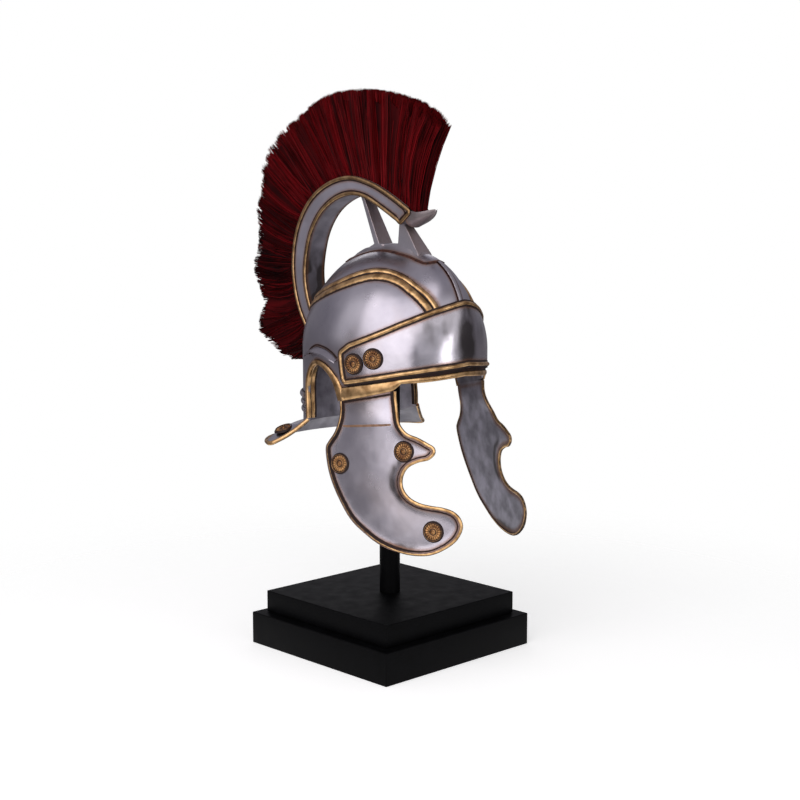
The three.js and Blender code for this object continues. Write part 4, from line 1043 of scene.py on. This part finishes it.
LIP = [(-42.0, 510.5, 522, 14.6), (-46, 510.2, 527, 14.6), (-50, 511.8, 529.6, 14.6), (-58, 515, 528.6, 13.6),
       (-66, 518.9, 529.2, 11), (-73, 523.6, 531, 6.5), (-78, 528.2, 532, 1.6)]
lip_line = smooth_line(LIP, 34)
lip_rows = []
for y, z_foot, z_top, half in lip_line:
    row = []
    for turn in np.linspace(-math.pi / 2, math.pi / 2, 13):
        row.append((half * math.sin(turn), y, z_foot + (z_top - z_foot) * (1 - math.cos(turn) ** 0.8)))
    for x_share in np.linspace(0.86, -0.86, 9):
        row.append((half * x_share, y, z_top - 1.8 * math.cos(x_share * math.pi / 2)))
    lip_rows.append(row)
lip = np.array(lip_rows)
count = lip.shape[1]
lip_faces = grid_faces(len(lip), count, True)
lip_points = np.concatenate([lip.reshape(-1, 3), lip.mean(1)[[0, -1]]])
first, final = len(lip_points) - 2, len(lip_points) - 1
lip_faces += [((j + 1) % count, j, first) for j in range(count)]
lip_faces += [(final - 1 - count + j, final - 1 - count + (j + 1) % count, final) for j in range(count)]
lip_mesh = bare_mesh("crest_front_lip", lip_points * MM, lip_faces)
outward_faces(lip_mesh)
mark(lip_mesh, "stain", 0.10 + 0.22 * np.clip((-48 - lip_points[:, 1]) / -8, 0, 1))
lip_steel = steel("lip_steel", light=(0.5, 0.48, 0.52), dark=(0.3, 0.28, 0.31), polish=0.36)
fit(piece("crest_front_lip", lip_mesh, lip_steel, 50), "polished_steel", "crest_lip")

# the forked plate from the side, above its saddle, as (y, z) from the back to the front
FORK_TOP = [(40, 478), (15, 490.5), (44, 551), (39, 551), (6, 491), (-24, 491), (-22, 523), (-27.5, 520)]


def support_half(y, z):
    rear = y > 0
    return 13 - np.where(rear, 5, 6.8) * np.clip((z - 468) / np.where(rear, 73, 46), 0, 1)


saddle_y = np.linspace(-60, 58, 30)
saddle = [(y, float(crown_at(12.5, y)[2]) - 1.2) for y in saddle_y]
outline = np.array([(58, saddle[-1][1] + 2), *FORK_TOP, (-60, saddle[0][1] + 4), *saddle])
finer = []
for start, end in zip(outline, np.roll(outline, -1, axis=0)):
    for t in np.linspace(0, 1, max(int(np.linalg.norm(end - start) / 2.0), 1), endpoint=False):
        finer.append(start + (end - start) * t)
yz, triangles = flat_sheet(np.array(finer), 1.8, 0.9)
face = np.column_stack([support_half(yz[:, 0], yz[:, 1]), yz])
fork_points, faces = closed_sheet(face, face * MIRROR, triangles, len(finer))
fork_mesh = bare_mesh("crest_fork", fork_points * MM, faces)
outward_faces(fork_mesh)
shape = bmesh.new()
shape.from_mesh(fork_mesh)
rim_edges = [e for e in shape.edges if len(e.link_faces) == 2 and e.calc_face_angle(0) > 0.5]
bmesh.ops.bevel(shape, geom=rim_edges, offset=0.0009, segments=3, profile=0.5, affect="EDGES")
shape.to_mesh(fork_mesh)
shape.free()
fork_steel = steel("fork_steel", light=(0.45, 0.43, 0.47), dark=(0.30, 0.28, 0.31), polish=0.42)
fork = piece("crest_fork", fork_mesh, fork_steel, 40)
fit(fork, "polished_steel", "crest_support")

# its foot is beaten out over the crown as a narrow flange, from each point of the wall to one of the seat
FLANGE = [((0, 51), (0, 58)), ((8, 50.5), (12, 57.5)), ((11.5, 50), (18, 56)), ((12.6, 46), (20.3, 52)),
          ((12.6, 30), (19.3, 31)), ((12.6, 0), (19, -2)), ((12.6, -25), (16.8, -28)), ((12.6, -38), (16, -48)),
          ((12.2, -44), (16.5, -64)), ((10.5, -46.5), (14.5, -75)), ((6, -47), (8, -80.5)), ((0, -47), (0, -82))]
rails = np.array([top + foot for top, foot in FLANGE], float)
rails = np.concatenate([rails, rails[-2:0:-1] * (-1, 1, -1, 1)])
rails = smooth_line(rails, 200, closed=True)
high = np.interp(rails[:, 1], [-47, -38, -20, 30, 44, 51], [8.0, 7.0, 6.0, 5.0, 2.5, 0.3])
wall_at = crown_at(rails[:, 0], rails[:, 1]) + high[:, None] * (0, 0, 1)
wall_at[:, 0] *= np.minimum(1, (support_half(wall_at[:, 1], wall_at[:, 2]) - 0.6) / 12.6)
seat_at, out = placed(crown_at, rails[:, 2:])
corner = crown_at(rails[:, 0] * 1.02, rails[:, 1] + np.where(rails[:, 1] < -44, -2.0, 0.0)) + out * 0.8
sections = [wall_at * (1 - t) ** 2 + corner * 2 * t * (1 - t) + (seat_at + out * 0.5) * t ** 2
            for t in np.linspace(0, 1, 8)]
sections += [seat_at - out * 1.6, wall_at * (0.8, 0.97, 1) - (0, 0, 8.5)]
flange = np.stack(sections, 1)
flange_faces = grid_faces(*flange.shape[:2], closed=True, looped=True)
flange_mesh = bare_mesh("fork_flange", flange.reshape(-1, 3) * MM, flange_faces)
outward_faces(flange_mesh)
flange_piece = piece("fork_flange", flange_mesh, fork_steel, 50)
fit(flange_piece, "polished_steel")
rust_wax = old_wax("rust_wax", light=(0.105, 0.034, 0.02), dark=(0.028, 0.010, 0.008))
low_line("fork_wax_line", "polished_steel", seat_at, out, 3.2, 0.9, closed=True, finish=rust_wax, stain=1.2)

# ------------------------------------------------------------------ patina and painted shade
# Old wax and rust stay in the corners beside every edging and thin out over a few millimetres; under the brow
# plate the same darkening is painted shade.
# Blotches are darkest beside the crease of the brow plate. In the notch of each cheek guard a dark crescent is
# painted shade, and a dark patch lies near the bottom of the chin lobe.
CAKED, HAZE = 0.27, 0.07


def spread_stain(made):
    tree = KDTree(sum(len(line) for line, *_ in wax_and_shade_lines) * 2)
    widths = []
    for line, half, soak in wax_and_shade_lines:
        for flip in (np.ones(3), MIRROR):
            for p in line * flip:
                tree.insert(p * MM, len(widths))
                widths.append((half, soak))
    tree.balance()
    values = np.zeros(len(made.data.vertices), np.float32)
    for v in made.data.vertices:
        _, index, gap = tree.find(v.co)
        half, soak = widths[index]
        gap = max(gap / MM - half, 0)
        values[v.index] = CAKED * hump(gap, soak + 1.2) + HAZE * hump(gap, 6)
    mark(made.data, "stain", values)


for made in (skull, guard, brow, crest, fork, flange_piece, *cheek_pieces):
    spread_stain(made)


def vertex_values(mesh, name):
    values = np.zeros(len(mesh.vertices) * 3, np.float32)
    mesh.vertices.foreach_get(name, values)
    return values.reshape(-1, 3)


def brow_marks(p):
    deg = np.degrees(np.arctan2(np.abs(p[:, 0]) / HALF_WIDTH, (MID_Y - p[:, 1]) / HALF_LENGTH))
    cloud = 0.8 * hump(deg - 22, 13) * np.clip((p[:, 2] - 372) / 22, 0, 1)
    return np.maximum(1.3 * hump(deg - 2, 5.0), cloud)


def cheek_marks(p):
    # The crescent inside the notch is painted shade, standing in for the shading of the plate's flared edge
    # there; the second mark is a dark patch near the bottom of the chin lobe, and the plate's outline is set dark
    # on both faces.
    notch = np.hypot(p[:, 1] + 122, p[:, 2] - 232) - 27.5
    chin = np.hypot((p[:, 1] + 106) / 3.6, p[:, 2] - 152)
    marks = 1.8 * hump(notch, 3.6) * np.clip((p[:, 1] + 112) / 8, 0, 1) + 2.4 * hump(chin, 6)
    rim, half = len(cheek_line), len(p) // 2
    marks[:rim] = marks[half:half + rim] = 1.6
    return marks


for made in (fork, flange_piece):
    forward = -vertex_values(made.data, "normal")[:, 1]
    stain = made.data.attributes["stain"].data
    soaked = np.zeros(len(forward), np.float32)
    stain.foreach_get("value", soaked)
    stain.foreach_set("value", np.maximum(soaked, 0.05 + 0.13 * np.clip(forward * 1.5, 0, 1)))
for made, rule in ((brow, brow_marks), *((cheek, cheek_marks) for cheek in cheek_pieces)):
    mark(made.data, "mottle", rule(vertex_values(made.data, "co") / MM))

# ------------------------------------------------------------------ plume
# A brush of dyed horsehair, bound in bundles and wedged into the crest box. The bundles fan out and end
# unevenly, the rear ones most of all. Inside them a dense mass of hair fills the brush.
PLUME_ROOT = [(-56, 531), (-46, 536), (-16, 551), (18, 565), (56, 572), (95, 564.5), (126, 547), (148, 521),
              (160, 491), (163.5, 458), (160, 430), (151, 403), (138, 382), (125, 364)]
PLUME_TIP = [(-93, 628), (-82, 636.5), (-61, 651), (-41, 659), (-10, 667.5), (20, 673), (44, 675), (92, 670.5),
             (113, 665), (137, 653), (159, 642), (191, 624), (212, 604), (221, 589), (227, 572), (230, 552),
             (235, 535), (234, 516), (237, 496), (238, 478), (246, 457), (236, 436), (227, 411), (240, 377),
             (217, 361), (197, 350), (177, 338)]
root_line, tip_line = smooth_line(PLUME_ROOT, 400), smooth_line(PLUME_TIP, 400)


def along_line(line, u):
    at = np.clip(u, 0, 1) * (len(line) - 1)
    return np.stack([np.interp(at, np.arange(len(line)), line[:, k]) for k in range(2)], -1)


red_hair, coat, shader = new_finish("dyed_horsehair")
low_tint, high_tint = np.array([0.006, 0.0004, 0.0007]), np.array([0.18, 0.0030, 0.0058])
cloud = grain(coat, 30, 4)
tuft_share = calc(coat, "MULTIPLY_ADD", attribute(coat, "tuft"), 0.72, calc(coat, "MULTIPLY", cloud, 0.36))
feed(coat, shader, {
    "Base Color": ramp(coat, tuft_share, (0.12, low_tint), (0.5, (low_tint + high_tint) / 2),
                       (0.95, high_tint)),
    "Roughness": ramp(coat, cloud, (0.3, 0.42), (0.7, 0.62)), "Specular IOR Level": 0.06})


def front_swerve(u):
    """How far the foremost hairs bow forwards, in millimetres."""
    return 9.5 * np.clip(1 - u / 0.16, 0, 1)


us = np.linspace(0.004, 0.996, 170)
rows = []
for u in us:
    a, b = along_line(root_line, u), along_line(tip_line, u)
    trim = 0.87 - 0.05 * min(max((u - 0.4) * 3, 0), 1) + 0.02 * math.sin(u * 61) + 0.02 * math.sin(u * 143 + 1)
    swerve = unit(np.array([(b - a)[1], -(b - a)[0]])) * front_swerve(u)
    row = []
    for t in (0.02, 0.25, 0.5, 0.75, 1.0):
        row.append((-10.0 - 3.0 * t, *(a + (b - a) * t * trim + swerve * 4 * t * trim * (1 - t * trim))))
    row += [(0, *(a + (b - a) * (trim + 0.01) + swerve * 4 * trim * (1 - trim)))]
    row += [(-x, y, z) for x, y, z in row[:5][::-1]]
    rows.append(row)
heart_mesh = loft("plume_heart", np.array(rows))
mark(heart_mesh, "tuft", np.repeat(0.15 + 0.15 * np.sin(us * 173) * np.sin(us * 47), len(row)))
fit(piece("plume_heart", heart_mesh, red_hair, 70), "red_horsehair", "plume")


def strand_mesh():
    """One hair bundle: a slim three-sided rod of unit length along Z with a cut end.
    "along" says how much it bows there."""
    heights = (0, 0.25, 0.5, 0.75, 0.97)
    steps = len(heights)
    points = []
    for t in heights:
        girth = 0.62 - 0.22 * t ** 3
        for k in range(3):
            turn = 2 * math.pi * k / 3
            points.append((girth * math.cos(turn), girth * math.sin(turn), t))
    points.append((0, 0, 1))
    tail = (steps - 1) * 3
    faces = grid_faces(steps, 3, True) + [(tail + k, tail + (k + 1) % 3, tail + 3) for k in range(3)]
    faces.append((2, 1, 0))
    mesh = bare_mesh("strand", points, faces)
    mark(mesh, "along", [4 * p[2] * (1 - p[2]) for p in points])
    return mesh


def hair_tree():
    tree, given = geometry_tree("Hair set in a brush", {
        "Roots": ("Geometry", None), "Strand": ("Object", None), "Thinnest": ("Float", 0.0005),
        "Thickest": ("Float", 0.0012), "Seed": ("Int", 11), "Finish": ("Material", None)}, "Hair")
    reach = stored(tree, "reach")
    girth = node(tree, "FunctionNodeRandomValue", {
        2: given["Thinnest"], 3: given["Thickest"], "Seed": given["Seed"]}, data_type="FLOAT").outputs[1]
    length = node(tree, "ShaderNodeVectorMath", {0: reach}, operation="LENGTH").outputs["Value"]
    size = node(tree, "ShaderNodeCombineXYZ", {0: girth, 1: girth, 2: length}).outputs[0]
    hairs = set_on(tree, given["Roots"], given["Strand"], reach, given["Seed"], Scale=size)
    shift = node(tree, "ShaderNodeVectorMath", {
        0: stored(tree, "bow"), "Scale": stored(tree, "along", "FLOAT")}, operation="SCALE")
    bowed = node(tree, "GeometryNodeSetPosition", {"Geometry": hairs, "Offset": shift.outputs[0]})
    painted_output(tree, bowed.outputs[0], given["Finish"])
    return tree


def brush(count, bundles, x_low, x_high, seed):
    """Roots, reaches, bows and tints of many hairs, gathered in bundles that close towards their tips. The rear
    bundles are tinted darker as painted shade.
    """
    chance = np.random.default_rng(seed)
    bundle_u = np.sort(chance.uniform(-0.004, 1.004, bundles))
    bundle_x = chance.uniform(-1, 1, bundles)
    rear = np.clip((bundle_u - 0.42) / 0.3, 0, 1)
    bundle_length = 1 - np.abs(chance.normal(0, 1, bundles)) * (0.014 + 0.05 * rear)
    bundle_lean = chance.normal(0, 0.005, bundles) * (1 + 1.4 * rear)
    bundle_bow = chance.normal(0, 1.6, bundles) + rear * chance.uniform(-2, 7, bundles)
    bundle_bow += front_swerve(bundle_u)
    # The rear bundles are tinted darker: painted shade on the back of the brush.
    bundle_tint_and_shade = chance.beta(1.6, 1.9, bundles) - 0.42 * rear
    pick = chance.integers(0, bundles, count)
    spread = chance.normal(0, 1, (count, 2))
    root_u = bundle_u[pick] + spread[:, 0] * 0.008
    tip_u = bundle_u[pick] + bundle_lean[pick] + spread[:, 0] * 0.0042
    middle, half = (x_low + x_high) / 2, (x_high - x_low) / 2
    x_share = np.clip(bundle_x[pick] + spread[:, 1] * 0.22, -1, 1)
    root_x = middle * 0.72 + half * 0.72 * x_share
    tip_x = middle + half * np.clip(bundle_x[pick] * 0.97 + spread[:, 1] * 0.12, -1, 1)
    length = np.clip(bundle_length[pick] - np.abs(chance.normal(0, 0.010, count)), 0.55, 0.997)
    roots, tips = along_line(root_line, root_u), along_line(tip_line, tip_u)
    inside = np.column_stack([root_x, roots - 0.03 * (tips - roots)])
    ends = np.column_stack([root_x + (tip_x - root_x) * length, roots + (tips - roots) * length[:, None]])
    reaches = ends - inside
    across = unit(np.column_stack([np.zeros(count), reaches[:, 2], -reaches[:, 1]]))
    bows = across * (bundle_bow[pick] + chance.normal(0, 0.9, count))[:, None]
    bows[:, 0] = chance.normal(0, 0.6, count)
    tint = np.clip(bundle_tint_and_shade[pick] + chance.normal(0, 0.2, count), 0, 1)
    return inside, reaches, bows, tint


strand = put("strand", strand_mesh())
hair_group = hair_tree()
for name, count, bundles, x_low, x_high, seed in (("plume_hair_right", 7100, 420, -15.6, -4, 21),
                                                  ("plume_hair_left", 7100, 420, 4, 15.6, 22),
                                                  ("plume_hair_middle", 6000, 300, -9, 9, 23)):
    roots, reaches, bows, tints_and_shade = brush(count, bundles, x_low, x_high, seed)
    holder = marked_points("roots", roots, reach=reaches * MM, bow=bows * MM)
    mark(holder.data, "tuft", tints_and_shade)
    hair = run_nodes(holder, hair_group, {"Strand": strand, "Seed": seed, "Thinnest": 0.0005,
                                          "Thickest": 0.0011, "Finish": red_hair})
    hair.name = name
    fit(piece(name, hair, red_hair, 80), "red_horsehair")
bpy.data.objects.remove(strand)
